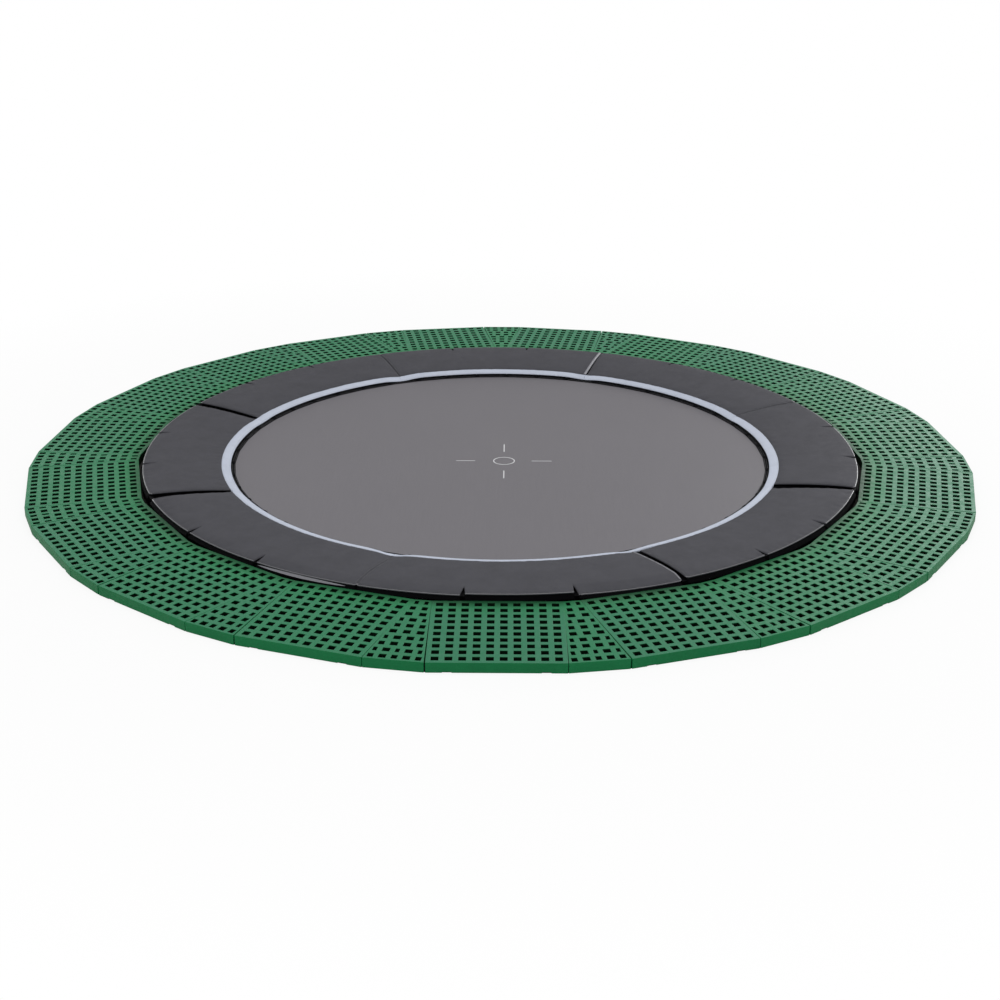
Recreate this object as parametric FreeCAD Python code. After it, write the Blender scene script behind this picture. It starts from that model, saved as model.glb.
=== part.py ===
import FreeCAD, Part
import math
import os

# A ground-level round trampoline inside a ring of lattice safety tiles.
# Millimetres and degrees. +Z is up, the ground is z = 0, and the origin is the centre
# of the ring on the ground. The first tile of the ring faces -Y.

# Tile ring: square tiles with a wedge between each two of them.
tile_count = 19
tile_side = 453.5
tile_height = 36.0
tile_seam = 0.8
tile_border = 16.25
wedge_inner_width = 57.1
hole_rows = 10
hole_side = 25.0
upper_rib_height = 18.0
wedge_rows_per_bar = 2
narrowest_slot = 9.0
first_tile_bearing = -90.0

# Frame: rolled box rails, joined end to end, on foot plates.
rail_count = 8
rail_width = 38.0
rail_height = 35.0
rail_end_gap = 0.5
foot_width = 76.0
foot_length = 120.0
foot_thickness = 3.0
bolt_head_width = 13.0
bolt_head_height = 5.3
bolt_from_joint = 30.0

# Jumping mat: a polygon pulled out to a corner at each spring, with webbing on its rim.
spring_count = 48
mat_thickness = 2.0
mat_underside_height = 8.0
webbing_width = 34.0
webbing_thickness = 2.5

# Springs from the webbing to the inner wall of the rails, with a hook at each end.
spring_span = 284.0
spring_diameter = 16.0
spring_hook_width = 6.0
spring_hook_length = 36.0
spring_sides = 6
spring_end_clearance = 0.3

# Padding: one ring of padded segments over the springs and the frame.
pad_count = 8
pad_panels = 6
pad_gap = 0.8
pad_ring_turn = 2.5
pad_thickness = 15.7
pad_hem_drop = 10.3
pad_hem_flare = 11.5
pad_over_rail = 35.6
pad_over_mat = 18.0
pad_lip_above_mat = 11.0
pad_band_width = 39.0
pad_band_rise = 12.5
pad_rest_clearance = 0.3
pad_tile_clearance = 0.8

# Worked out from the sizes above.
tile_step = 360.0 / tile_count
half_step = math.radians(tile_step / 2)
half_side = tile_side / 2
hole_pitch = (tile_side - 2 * tile_border - hole_side) / (hole_rows - 1)
rib_width = hole_pitch - hole_side
half_rib = rib_width / 2
lower_rib_height = tile_height - upper_rib_height
first_pad_bearing = first_tile_bearing + pad_ring_turn
rail_top = foot_thickness + rail_height
rail_turn = 360.0 / rail_count
mat_top = mat_underside_height + mat_thickness
spring_turn = 360.0 / spring_count
spring_height_at_rail = foot_thickness + rail_height / 2
first_spring_bearing = first_pad_bearing + spring_turn / 2

# The tile ring closes on itself at this distance from the centre to its inner edges,
# and the padding, the frame, the springs and the mat follow inwards from it.
tile_ring_inner_apothem = (
    wedge_inner_width / 2 + half_side * math.cos(half_step) + tile_seam / math.cos(half_step)
) / math.sin(half_step)
pad_outer_radius = tile_ring_inner_apothem - pad_tile_clearance
rail_outer_radius = pad_outer_radius - pad_over_rail
rail_inner_radius = rail_outer_radius - rail_width
mat_corner_radius = rail_inner_radius - spring_span
pad_inner_radius = mat_corner_radius - pad_over_mat


def closed(corners):
    """Closed wire through a list of vectors."""
    return Part.makePolygon(corners + corners[:1])


def polygon(points, height):
    """Closed wire through (x, y) points, all at one height."""
    return closed([FreeCAD.Vector(x, y, height) for x, y in points])


def plate(outline, slots, underside, thickness):
    """Flat plate with slots through it."""
    wires = [polygon(points, underside) for points in [outline] + slots]
    face = Part.makeFace(wires, "Part::FaceMakerBullseye")
    return face.extrude(FreeCAD.Vector(0, 0, thickness)).Solids[0]


def turned(shape, bearing):
    """Copy of a shape built along +X, turned about the ring's centre to a bearing."""
    copy = shape.copy()
    copy.rotate(FreeCAD.Vector(0, 0, 0), FreeCAD.Vector(0, 0, 1), bearing)
    return copy


def ring_sector(section, start, sweep):
    """Solid swept about +Z from a section of (radius, height) points."""
    corners = [FreeCAD.Vector(radius, 0, height) for radius, height in section]
    face = Part.Face(closed(corners))
    solid = face.revolve(FreeCAD.Vector(0, 0, 0), FreeCAD.Vector(0, 0, 1), sweep)
    return turned(solid, start)


def solid_through(sections):
    """Solid with flat sides through matching polygons, each a list of vectors."""
    faces = [Part.Face(closed(sections[0])), Part.Face(closed(sections[-1]))]
    for near, far in zip(sections, sections[1:]):
        for index in range(len(near)):
            before = index - 1
            faces.append(Part.Face(closed([near[before], near[index],
                                           far[index], far[before]])))
    return Part.Solid(Part.Shell(faces))


def gap_angle(gap, radius):
    """Angle of a gap between two neighbours of a ring, at a radius."""
    return math.degrees(gap / radius)


def rectangle(x_low, x_high, y_low, y_high):
    """Corners of a rectangle."""
    return [(x_low, y_low), (x_high, y_low), (x_high, y_high), (x_low, y_high)]


def comb(bar_edges, half_width, spine_width):
    """Outline of bars across a tile, joined by a spine along one side of it.

    bar_edges holds the low and high x of each bar, and half_width(x) is half the
    width of the tile there.
    """
    first_x = bar_edges[0][0]
    last_x = bar_edges[-1][1]
    points = [(last_x, -half_width(last_x)), (first_x, -half_width(first_x))]
    for low_x, high_x in bar_edges:
        if low_x > first_x:
            points.append((low_x, spine_width - half_width(low_x)))
        points.append((low_x, half_width(low_x)))
        points.append((high_x, half_width(high_x)))
        if high_x < last_x:
            points.append((high_x, spine_width - half_width(high_x)))
    return points


def square_tile():
    """Square tile along +X: ribs away from the centre lie on cross ribs."""
    inner = tile_ring_inner_apothem
    outer = inner + tile_side
    slots = []
    for row in range(hole_rows):
        middle = (row - (hole_rows - 1) / 2) * hole_pitch
        slots.append(rectangle(inner + tile_border, outer - tile_border,
                               middle - hole_side / 2, middle + hole_side / 2))
    upper = plate(rectangle(inner, outer, -half_side, half_side), slots,
                  lower_rib_height, upper_rib_height)
    bars = []
    for row in range(1, hole_rows + 1):
        bar_end = inner + tile_border + row * hole_pitch
        bars.append((bar_end - rib_width, min(bar_end, outer)))
    lower = plate(comb(bars, lambda x: half_side, tile_border), [], 0, lower_rib_height)
    return Part.makeCompound([upper, lower])


def wedge_tile():
    """Wedge along +X that fills the angle between two square tiles."""
    seam_line = half_side + tile_seam
    inner = tile_ring_inner_apothem * math.cos(half_step) + half_side * math.sin(half_step)
    outer = inner + tile_side * math.cos(half_step)

    def half_width(x):
        return x * math.tan(half_step) - seam_line / math.cos(half_step)

    slot_start = inner + half_rib
    while half_width(slot_start) - rib_width < narrowest_slot:
        slot_start += half_rib
    slot_end = outer - half_rib
    slots = []
    for side in (-1, 1):
        slots.append([
            (slot_start, side * half_rib),
            (slot_end, side * half_rib),
            (slot_end, side * (half_width(slot_end) - half_rib)),
            (slot_start, side * (half_width(slot_start) - half_rib)),
        ])
    outline = [(inner, -half_width(inner)), (outer, -half_width(outer)),
               (outer, half_width(outer)), (inner, half_width(inner))]
    upper = plate(outline, slots, lower_rib_height, upper_rib_height)
    row_pitch = (outer - inner) / hole_rows
    bars = []
    for row in range(wedge_rows_per_bar, hole_rows + 1, wedge_rows_per_bar):
        middle = inner + row * row_pitch
        bars.append((middle - half_rib, min(middle + half_rib, outer)))
    lower = plate(comb(bars, half_width, half_rib), [], 0, lower_rib_height)
    return Part.makeCompound([upper, lower])


def rail(index):
    """One rolled box rail of the frame."""
    section = [
        (rail_inner_radius, foot_thickness),
        (rail_outer_radius, foot_thickness),
        (rail_outer_radius, rail_top),
        (rail_inner_radius, rail_top),
    ]
    gap = gap_angle(rail_end_gap, rail_inner_radius)
    start = first_pad_bearing + index * rail_turn + gap / 2
    return ring_sector(section, start, rail_turn - gap)


def feet():
    """Foot plate under each joint of the frame."""
    middle_radius = rail_inner_radius + rail_width / 2
    outline = rectangle(middle_radius - foot_width / 2, middle_radius + foot_width / 2,
                        -foot_length / 2, foot_length / 2)
    foot = plate(outline, [], 0, foot_thickness)
    return [turned(foot, first_pad_bearing + index * rail_turn)
            for index in range(rail_count)]


def bolts():
    """Bolt head on the outer wall of the frame, beside each joint."""
    corner_radius = bolt_head_width / math.sqrt(3)
    height = foot_thickness + rail_height / 2
    corners = []
    for corner in range(6):
        angle = math.radians(60 * corner)
        corners.append(FreeCAD.Vector(rail_outer_radius,
                                      corner_radius * math.cos(angle),
                                      height + corner_radius * math.sin(angle)))
    face = Part.Face(closed(corners))
    head = face.extrude(FreeCAD.Vector(bolt_head_height, 0, 0))
    offset = gap_angle(bolt_from_joint, rail_outer_radius)
    return [turned(head, first_pad_bearing + index * rail_turn + offset)
            for index in range(rail_count)]


def mat_outline(radius):
    """Corners of the mat, one at each spring."""
    points = []
    for index in range(spring_count):
        angle = math.radians(first_spring_bearing + index * spring_turn)
        points.append((radius * math.cos(angle), radius * math.sin(angle)))
    return points


def mat():
    """Woven jumping mat."""
    return plate(mat_outline(mat_corner_radius), [], mat_underside_height, mat_thickness)


def webbing():
    """Webbing sewn on the rim of the mat."""
    hole = mat_outline(mat_corner_radius - webbing_width)
    return plate(mat_outline(mat_corner_radius), [hole], mat_top, webbing_thickness)


def springs():
    """Closed outer shape of each spring, narrow at its hooks, between mat and frame."""
    start_x = mat_corner_radius + spring_end_clearance
    end_x = rail_inner_radius - spring_end_clearance
    slope = (spring_height_at_rail - mat_top) / (end_x - start_x)
    stations = [
        (start_x, spring_hook_width / 2),
        (start_x + spring_hook_length, spring_diameter / 2),
        (end_x - spring_hook_length, spring_diameter / 2),
        (end_x, spring_hook_width / 2),
    ]
    sections = []
    for x, radius in stations:
        height = mat_top + slope * (x - start_x)
        corners = []
        for side in range(spring_sides):
            angle = math.radians(360 / spring_sides * side)
            corners.append(FreeCAD.Vector(x, radius * math.cos(angle),
                                          height + radius * math.sin(angle)))
        sections.append(corners)
    spring = solid_through(sections)
    return [turned(spring, first_spring_bearing + index * spring_turn)
            for index in range(spring_count)]


def pad(index):
    """One padded segment, with a pale band sloping down to the mat."""
    underside = rail_top + pad_rest_clearance
    lip_height = mat_top + pad_lip_above_mat
    panel_turn = math.radians(360 / pad_count / pad_panels)
    hem_corner_radius = (rail_outer_radius + pad_rest_clearance) / math.cos(panel_turn / 2)
    section = [
        (pad_inner_radius, lip_height),
        (rail_inner_radius, underside),
        (hem_corner_radius, underside),
        (pad_outer_radius, underside - pad_hem_drop),
        (pad_outer_radius - pad_hem_flare, underside + pad_thickness),
        (pad_inner_radius + pad_band_width, lip_height + pad_band_rise),
    ]
    gap = gap_angle(pad_gap, pad_inner_radius)
    pad_turn = 360.0 / pad_count
    start = first_pad_bearing + (index - 0.5) * pad_turn
    sections = []
    for panel in range(pad_panels + 1):
        bearing = start + panel * pad_turn / pad_panels
        bearing = min(max(bearing, start + gap / 2), start + pad_turn - gap / 2)
        angle = math.radians(bearing)
        sections.append([FreeCAD.Vector(radius * math.cos(angle), radius * math.sin(angle), z)
                         for radius, z in section])
    return solid_through(sections)


def write(name, shape):
    """Write one node."""
    shape.exportStep("parts/" + name + ".step")


def main():
    """Build every node of the trampoline."""
    os.makedirs("parts", exist_ok=True)
    tile = square_tile()
    wedge = wedge_tile()
    for index in range(tile_count):
        bearing = first_tile_bearing + index * tile_step
        write("tile_%02d" % (index + 1), turned(tile, bearing))
        write("wedge_tile_%02d" % (index + 1), turned(wedge, bearing + tile_step / 2))
    for index in range(rail_count):
        write("frame_rail_%d" % (index + 1), rail(index))
    for index in range(pad_count):
        write("pad_%d" % (index + 1), pad(index))
    write("frame_feet", Part.makeCompound(feet()))
    write("frame_bolts", Part.makeCompound(bolts()))
    write("jumping_mat", mat())
    write("mat_webbing", webbing())
    write("springs", Part.makeCompound(springs()))


main()
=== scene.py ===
"""The looks of a ground-level backyard trampoline inside a ring of lattice safety tiles.

Metres and degrees. +Z is up, the ground is z = 0, and the ring's centre is the origin.
Every piece is made in its place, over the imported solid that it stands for.
"""

import math

import bmesh
import bpy
import numpy as np
from mathutils import Euler, Matrix, Vector, noise


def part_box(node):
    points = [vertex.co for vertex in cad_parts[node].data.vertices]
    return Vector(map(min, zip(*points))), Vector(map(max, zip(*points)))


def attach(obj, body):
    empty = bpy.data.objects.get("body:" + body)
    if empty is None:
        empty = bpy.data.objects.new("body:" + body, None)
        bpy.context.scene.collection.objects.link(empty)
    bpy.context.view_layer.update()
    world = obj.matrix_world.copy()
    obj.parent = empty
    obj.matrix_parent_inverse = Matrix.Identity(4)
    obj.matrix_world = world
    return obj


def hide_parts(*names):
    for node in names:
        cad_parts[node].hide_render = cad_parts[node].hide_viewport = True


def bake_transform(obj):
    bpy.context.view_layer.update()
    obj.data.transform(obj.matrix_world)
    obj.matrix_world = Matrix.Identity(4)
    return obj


bl_info = {
    "name": "Backyard trampoline looks",
    "version": (1, 0, 0),
    "blender": (4, 5, 0),
    "location": "View3D > Sidebar > Trampoline",
    "description": "Lattice tiles, padding, jumping mat, springs and frame of a ground-level trampoline",
    "category": "Object",
}

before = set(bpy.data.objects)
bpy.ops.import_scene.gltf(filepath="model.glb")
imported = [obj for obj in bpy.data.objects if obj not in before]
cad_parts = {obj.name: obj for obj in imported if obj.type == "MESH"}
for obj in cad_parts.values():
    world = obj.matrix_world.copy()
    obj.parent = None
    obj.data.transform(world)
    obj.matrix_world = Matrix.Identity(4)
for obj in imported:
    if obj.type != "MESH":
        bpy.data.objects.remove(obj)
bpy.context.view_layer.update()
least_side = 0.0005


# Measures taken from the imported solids.


def corners_of(node):
    """The corners of a CAD node, one row each."""
    return np.array([v.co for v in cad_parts[node].data.vertices])


def ring_of(node):
    """Smallest and largest distance from the ring's axis, lowest and highest point of a node."""
    corners = corners_of(node)
    radii = np.hypot(corners[:, 0], corners[:, 1])
    return float(radii.min()), float(radii.max()), float(corners[:, 2].min()), float(corners[:, 2].max())


def bearing_of(node):
    """Bearing of a node's middle, in degrees from +X."""
    middle = corners_of(node).mean(0)
    return math.degrees(math.atan2(middle[1], middle[0]))


def turned(points, degrees):
    """Points turned about the ring's axis."""
    along, across = math.cos(math.radians(degrees)), math.sin(math.radians(degrees))
    return np.asarray(points) @ np.array([[along, across, 0], [-across, along, 0], [0, 0, 1]])


def on_ring(radius, bearing, height):
    """Points at distances from the ring's axis, bearings in degrees and heights."""
    angle = np.radians(bearing)
    return np.stack(np.broadcast_arrays(radius * np.cos(angle), radius * np.sin(angle), height), -1)


def section_of(node):
    """The corners of a swept node's section as (radius, height), from the inside out."""
    section = []
    for corner in sorted((math.hypot(x, y), float(z)) for x, y, z in corners_of(node)):
        if all(math.dist(other, corner) > least_side for other in section):
            section.append(corner)
    return section


def nodes_named(start):
    """The CAD nodes whose names are a start and a number, in their order."""
    return sorted((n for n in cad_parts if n.startswith(start) and n[len(start):].isdigit()),
                  key=lambda n: int(n[len(start):]))


tile_nodes = nodes_named("tile_")
wedge_nodes = nodes_named("wedge_tile_")
pad_nodes = nodes_named("pad_")
rail_nodes = nodes_named("frame_rail_")

tile_top = ring_of("tile_01")[3]
rail_inner, rail_outer, rail_low, rail_high = ring_of("frame_rail_1")
mat_corner, mat_low, mat_high = ring_of("jumping_mat")[1:]
webbing_inner, webbing_corner, webbing_low, webbing_high = ring_of("mat_webbing")
spring_count = 48
spring_step = 360 / spring_count
first_spring_bearing = bearing_of("pad_1") + spring_step / 2


class TrampolineSizes(bpy.types.PropertyGroup):
    """Sizes of the dressed trampoline that a user may change."""

    hole_side: bpy.props.FloatProperty(
        name="Tile hole", description="Side of a full hole in the tiles", default=0.025, unit="LENGTH")
    hole_rows: bpy.props.IntProperty(
        name="Hole rows", description="Rows of holes across a tile", default=10, min=1)
    tile_edge: bpy.props.FloatProperty(
        name="Tile edge", description="Rounding of the edges of tiles and holes",
        default=0.0013, unit="LENGTH")
    recess_height: bpy.props.FloatProperty(
        name="Foot recess", description="Height of the recesses under a tile's outer wall",
        default=0.0035, unit="LENGTH")
    band_width: bpy.props.FloatProperty(
        name="Band width", description="Width of the pale band along the padding's inner edge",
        default=0.039, unit="LENGTH")
    tile_border: bpy.props.FloatProperty(
        name="Tile border", description="Width of a square tile's edge outside its holes",
        default=0.01625, unit="LENGTH")
    slit_length: bpy.props.FloatProperty(
        name="Slit length", description="Length of the slits in the padding's outer edge",
        default=0.050, unit="LENGTH")
    slit_width: bpy.props.FloatProperty(
        name="Slit width", description="Width of a slit at the padding's outer edge",
        default=0.018, unit="LENGTH")
    pad_crown: bpy.props.FloatProperty(
        name="Pad crown", description="Most that the filled padding may swell from its cut shape",
        default=0.004, unit="LENGTH")
    piping_width: bpy.props.FloatProperty(
        name="Piping width", description="Thickness of the piping along the padding's upper edges",
        default=0.0036, unit="LENGTH")
    stitch_length: bpy.props.FloatProperty(
        name="Stitch length", description="Length of one stitch of the seams", default=0.0048, unit="LENGTH")
    spring_outside: bpy.props.FloatProperty(
        name="Spring thickness", description="Outside thickness of a spring", default=0.016, unit="LENGTH")
    spring_pitch: bpy.props.FloatProperty(
        name="Spring pitch", description="Distance between the turns of a spring", default=0.0031,
        unit="LENGTH")
    spring_wire: bpy.props.FloatProperty(
        name="Spring wire", description="Thickness of the spring wire", default=0.0025, unit="LENGTH")
    ring_wire: bpy.props.FloatProperty(
        name="Ring wire", description="Thickness of the wire of the mat's triangular rings",
        default=0.0036, unit="LENGTH")
    mat_thread: bpy.props.FloatProperty(
        name="Mat thread", description="Pitch of the threads in the woven mat", default=0.0024, unit="LENGTH")


class TrampolineColours(bpy.types.PropertyGroup):
    """Colours of the dressed trampoline that a user may change."""

    tile: bpy.props.FloatVectorProperty(
        name="Tiles", description="Green rubber of the tiles", subtype="COLOR", size=3,
        default=(0.004, 0.142, 0.044), min=0, max=1)
    # Dust on the tiles' tops, which also stands for painted sheen there.
    tile_dust_and_sheen: bpy.props.FloatVectorProperty(
        name="Tile dust", description="Tops of the tiles where dust has settled", subtype="COLOR", size=3,
        default=(0.025, 0.160, 0.084), min=0, max=1)
    pad: bpy.props.FloatVectorProperty(
        name="Padding", description="Coated fabric on top of the padding", subtype="COLOR", size=3,
        default=(0.071, 0.071, 0.080), min=0, max=1)
    pad_side: bpy.props.FloatVectorProperty(
        name="Padding sides", description="Black fabric of the padding's sides and underside",
        subtype="COLOR", size=3, default=(0.0018, 0.0018, 0.0023), min=0, max=1)
    # Painted highlight: this grey stands for the light caught by the ends of two padded segments; the turned
    # hem uses it too.
    pale_grey: bpy.props.FloatVectorProperty(
        name="Binding", description="Grey binding on the ends of two padded segments", subtype="COLOR",
        size=3, default=(0.21, 0.21, 0.23), min=0, max=1)
    band: bpy.props.FloatVectorProperty(
        name="Band", description="Pale band along the padding's inner edge", subtype="COLOR", size=3,
        default=(0.50, 0.54, 0.635), min=0, max=1)
    mat: bpy.props.FloatVectorProperty(
        name="Mat", description="Woven jumping mat", subtype="COLOR", size=3,
        default=(0.148, 0.142, 0.154), min=0, max=1)
    webbing: bpy.props.FloatVectorProperty(
        name="Webbing", description="Black webbing on the mat's rim", subtype="COLOR", size=3,
        default=(0.004, 0.004, 0.005), min=0, max=1)
    mark: bpy.props.FloatVectorProperty(
        name="Mark", description="Printed mark at the mat's centre", subtype="COLOR", size=3,
        default=(0.72, 0.72, 0.74), min=0, max=1)


# Node trees.


def add_node(tree, kind, sockets=None, **settings):
    """A node with its settings, and its sockets given a value or a link."""
    node = tree.nodes.new(kind)
    for key, value in settings.items():
        setattr(node, key, value)
    for key, value in (sockets or {}).items():
        if isinstance(value, bpy.types.NodeSocket):
            tree.links.new(value, node.inputs[key])
        else:
            node.inputs[key].default_value = value
    return node


def calc(tree, operation, first, second=0.0):
    """The result of one sum."""
    return add_node(tree, "ShaderNodeMath", {0: first, 1: second}, operation=operation).outputs[0]


def new_material(name, **shader):
    """A material, its tree and its surface shader with these plain values."""
    material = bpy.data.materials.new(name)
    material.use_nodes = True
    surface = material.node_tree.nodes["Principled BSDF"]
    for socket, value in shader.items():
        surface.inputs[socket.replace("_", " ")].default_value = value
    return material, material.node_tree, surface


def speckle(tree, where, scale, detail=2.0, roughness=0.5):
    """Noise from 0 to 1 at so many lumps per metre."""
    return add_node(tree, "ShaderNodeTexNoise", {
        "Vector": where, "Scale": scale, "Detail": detail, "Roughness": roughness}).outputs["Fac"]


def spread(tree, value, low, high, start=0.0, end=1.0):
    """Value mapped from low..high to start..end, held at the ends."""
    return add_node(tree, "ShaderNodeMapRange", {
        "Value": value, "From Min": low, "From Max": high, "To Min": start, "To Max": end}).outputs["Result"]


def patches(tree, where, noise, span=(0.3, 0.7), start=0.0, end=1.0):
    """Noise of a scale, detail and roughness, with a span of its values mapped to start..end."""
    return spread(tree, speckle(tree, where, *noise), *span, start, end)


def blended(tree, share, first, second):
    """Two colours mixed by a share."""
    node = add_node(tree, "ShaderNodeMix", {"Factor": share}, data_type="RGBA")
    for socket, value in ((node.inputs[6], first), (node.inputs[7], second)):
        if isinstance(value, bpy.types.NodeSocket):
            tree.links.new(value, socket)
        else:
            socket.default_value = (*value[:3], 1.0)
    return node.outputs[2]


def dress_surface(tree, surface, base, height, depth, rough=None, strength=1.0):
    """Gives a surface its colour, bumps of a real depth in metres, and its roughness where it varies."""
    bump = add_node(tree, "ShaderNodeBump", {"Height": height, "Distance": depth, "Strength": strength})
    tree.links.new(bump.outputs["Normal"], surface.inputs["Normal"])
    tree.links.new(base, surface.inputs["Base Color"])
    if rough is not None:
        tree.links.new(rough, surface.inputs["Roughness"])


def place(tree, kind="Object"):
    """Coordinates in metres, from the object's own space or its UV map."""
    return add_node(tree, "ShaderNodeTexCoord").outputs[kind]


def stored(tree, name):
    """A number that a mesh carries at its points."""
    return add_node(tree, "ShaderNodeAttribute", attribute_name=name).outputs["Fac"]


def from_axis(tree):
    """Distance from the ring's centre."""
    return add_node(tree, "ShaderNodeVectorMath", {0: place(tree)}, operation="LENGTH").outputs["Value"]


def weave(tree, where, pitch):
    """Height from -1 to 1 of a plain weave: each thread passes over one and under the next."""
    parts = add_node(tree, "ShaderNodeSeparateXYZ", {"Vector": where})
    across = calc(tree, "SINE", calc(tree, "MULTIPLY", parts.outputs["X"], math.pi / pitch))
    along = calc(tree, "SINE", calc(tree, "MULTIPLY", parts.outputs["Y"], math.pi / pitch))
    return calc(tree, "MULTIPLY", across, along)


def shaded(colour, factor):
    """A colour made lighter or darker."""
    return tuple(min(1.0, c * factor) for c in colour)


# Distances from the axis over which the painted shade beside the padding ends on the tiles, and over which
# the dust and painted sheen on their tops begin.
shade_reach = (1.547, 1.600)
dust_and_sheen_reach = (1.550, 1.680)
rubber_fleck = (0.030, 0.210, 0.095)
worn_rubber = (0.080, 0.200, 0.130)
# Painted shade with dirt, deep in the holes and on the inner and side walls.
hole_dark = (0.0012, 0.0085, 0.0030)
zinc_bloom = (0.30, 0.29, 0.27)


def tile_rubber(colours):
    """Green moulded rubber: painted shade by the padding, dust and painted sheen on the tops, worn edges,
    painted shade and dirt in the holes.
    """
    material, tree, surface = new_material("tile_rubber", Specular_IOR_Level=0.14)
    where, reach = place(tree), from_axis(tree)
    green = tuple(colours.tile)
    colour = blended(tree, patches(tree, where, (5.0, 4.0, 0.6)), shaded(green, 0.90), shaded(green, 1.12))
    colour = blended(tree, patches(tree, where, (520.0, 1.0), (0.56, 0.70), 0.0, 0.35), colour, rubber_fleck)
    facing = add_node(tree, "ShaderNodeNewGeometry").outputs["Normal"]
    upward = spread(tree, add_node(tree, "ShaderNodeSeparateXYZ", {0: facing}).outputs["Z"], 0.4, 0.95)
    # Dust together with painted sheen: the upward faces grow paler away from the padding.
    dust_and_sheen_bloom = calc(tree, "MULTIPLY", upward, spread(tree, reach, *dust_and_sheen_reach))
    dust = calc(tree, "MULTIPLY", dust_and_sheen_bloom, patches(tree, where, (22.0, 3.0, 0.6), start=0.75))
    colour = blended(tree, dust, colour, tuple(colours.tile_dust_and_sheen))
    # Painted shade: the tiles darken close to the padding.
    colour = blended(tree, spread(tree, reach, *shade_reach), shaded(green, 0.25), colour)
    colour = blended(tree, stored(tree, "tile_tint"), colour, shaded(green, 1.25))
    scuff = calc(tree, "MULTIPLY", stored(tree, "edge_wear"),
                 patches(tree, where, (60.0, 3.0), (0.42, 0.62), 0.1, 0.5))
    colour = blended(tree, calc(tree, "MULTIPLY", scuff, dust_and_sheen_bloom), colour, worn_rubber)
    # Painted shade with dirt: darker deeper down the holes and on the tiles' inner and side walls.
    colour = blended(tree, spread(tree, stored(tree, "hole_depth"), 0.02, 0.05), colour, hole_dark)
    dress_surface(tree, surface, colour, speckle(tree, where, 420.0, 3.0), 0.0005,
                  patches(tree, where, (45.0, 3.0), start=0.46, end=0.60))
    return material


def coated_fabric(name, colour, roughness, gloss):
    """Coated woven fabric: a fine cloth grain under the coating, and soft creases."""
    material, tree, surface = new_material(name, Specular_IOR_Level=gloss)
    where = place(tree, "UV")
    base = blended(tree, patches(tree, where, (9.0, 5.0, 0.62)), shaded(colour, 0.93), shaded(colour, 1.08))
    dust = patches(tree, where, (240.0, 2.0), (0.60, 0.75), 0.0, 0.12)
    base = blended(tree, dust, base, shaded(colour, 2.2))
    rough = patches(tree, where, (30.0, 4.0), start=roughness - 0.05, end=roughness + 0.07)
    threads = calc(tree, "MULTIPLY", weave(tree, where, 0.0011), 0.22)
    creases = calc(tree, "MULTIPLY", speckle(tree, where, 55.0, 3.0, 0.55), 0.5)
    dress_surface(tree, surface, base, calc(tree, "ADD", threads, creases), 0.0006, rough)
    return material


def pale_fabric(colours):
    """Pale woven band with a clear grain and a little soil."""
    material, tree, surface = new_material("band_fabric", Roughness=0.62, Specular_IOR_Level=0.15)
    where = place(tree, "UV")
    pale = tuple(colours.band)
    grain = spread(tree, weave(tree, where, 0.0013), -1.0, 1.0)
    base = blended(tree, grain, shaded(pale, 0.93), shaded(pale, 1.05))
    soil = patches(tree, where, (14.0, 4.0, 0.6), (0.48, 0.75), 0.0, 0.30)
    base = blended(tree, soil, base, shaded(pale, 0.72))
    dress_surface(tree, surface, base, calc(tree, "ADD", grain, speckle(tree, where, 90.0, 3.0)), 0.0005)
    return material


def mat_weave(colours, thread):
    """Tightly woven jumping mat with satin threads."""
    material, tree, surface = new_material("mat_weave", Roughness=0.45, Specular_IOR_Level=0.06)
    where = place(tree)
    grey = tuple(colours.mat)
    fine = spread(tree, weave(tree, where, thread), -1.0, 1.0)
    base = blended(tree, fine, shaded(grey, 0.86), shaded(grey, 1.10))
    base = blended(tree, patches(tree, where, (1.6, 4.0, 0.55), end=0.5), base, shaded(grey, 0.93))
    stretched = add_node(tree, "ShaderNodeMapping", {"Vector": where, "Scale": (1.0, 0.02, 1.0)}).outputs[0]
    streaks = patches(tree, stretched, (260.0, 2.0), (0.35, 0.65), 0.0, 0.22)
    base = blended(tree, streaks, base, shaded(grey, 1.16))
    dress_surface(tree, surface, base, fine, 0.0004)
    return material


def printed_ink(colours):
    """Pale ink on the mat, worn thin over the threads."""
    material, tree, surface = new_material("mark_ink", Roughness=0.6)
    worn = patches(tree, place(tree), (700.0, 2.0), (0.35, 0.65))
    base = blended(tree, worn, shaded(colours.mark, 0.72), tuple(colours.mark))
    dress_surface(tree, surface, base, worn, 0.0002)
    return material


def strap_webbing(name, colour):
    """Ribbed strap: cords along its length, crossed by a fine weft."""
    material, tree, surface = new_material(name, Roughness=0.75, Specular_IOR_Level=0.02)
    ribs = spread(tree, weave(tree, place(tree, "UV"), 0.0016), -1.0, 1.0)
    dress_surface(tree, surface, blended(tree, ribs, shaded(colour, 0.6), shaded(colour, 1.5)), ribs, 0.0006)
    return material


def sewing_thread(name, colour):
    """Twisted thread of the seams."""
    material, tree, surface = new_material(name, Roughness=0.55, Sheen_Weight=0.2)
    twist = speckle(tree, place(tree), 900.0, 1.0)
    base = blended(tree, twist, shaded(colour, 0.7), shaded(colour, 1.3))
    dress_surface(tree, surface, base, twist, 0.0002)
    return material


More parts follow.
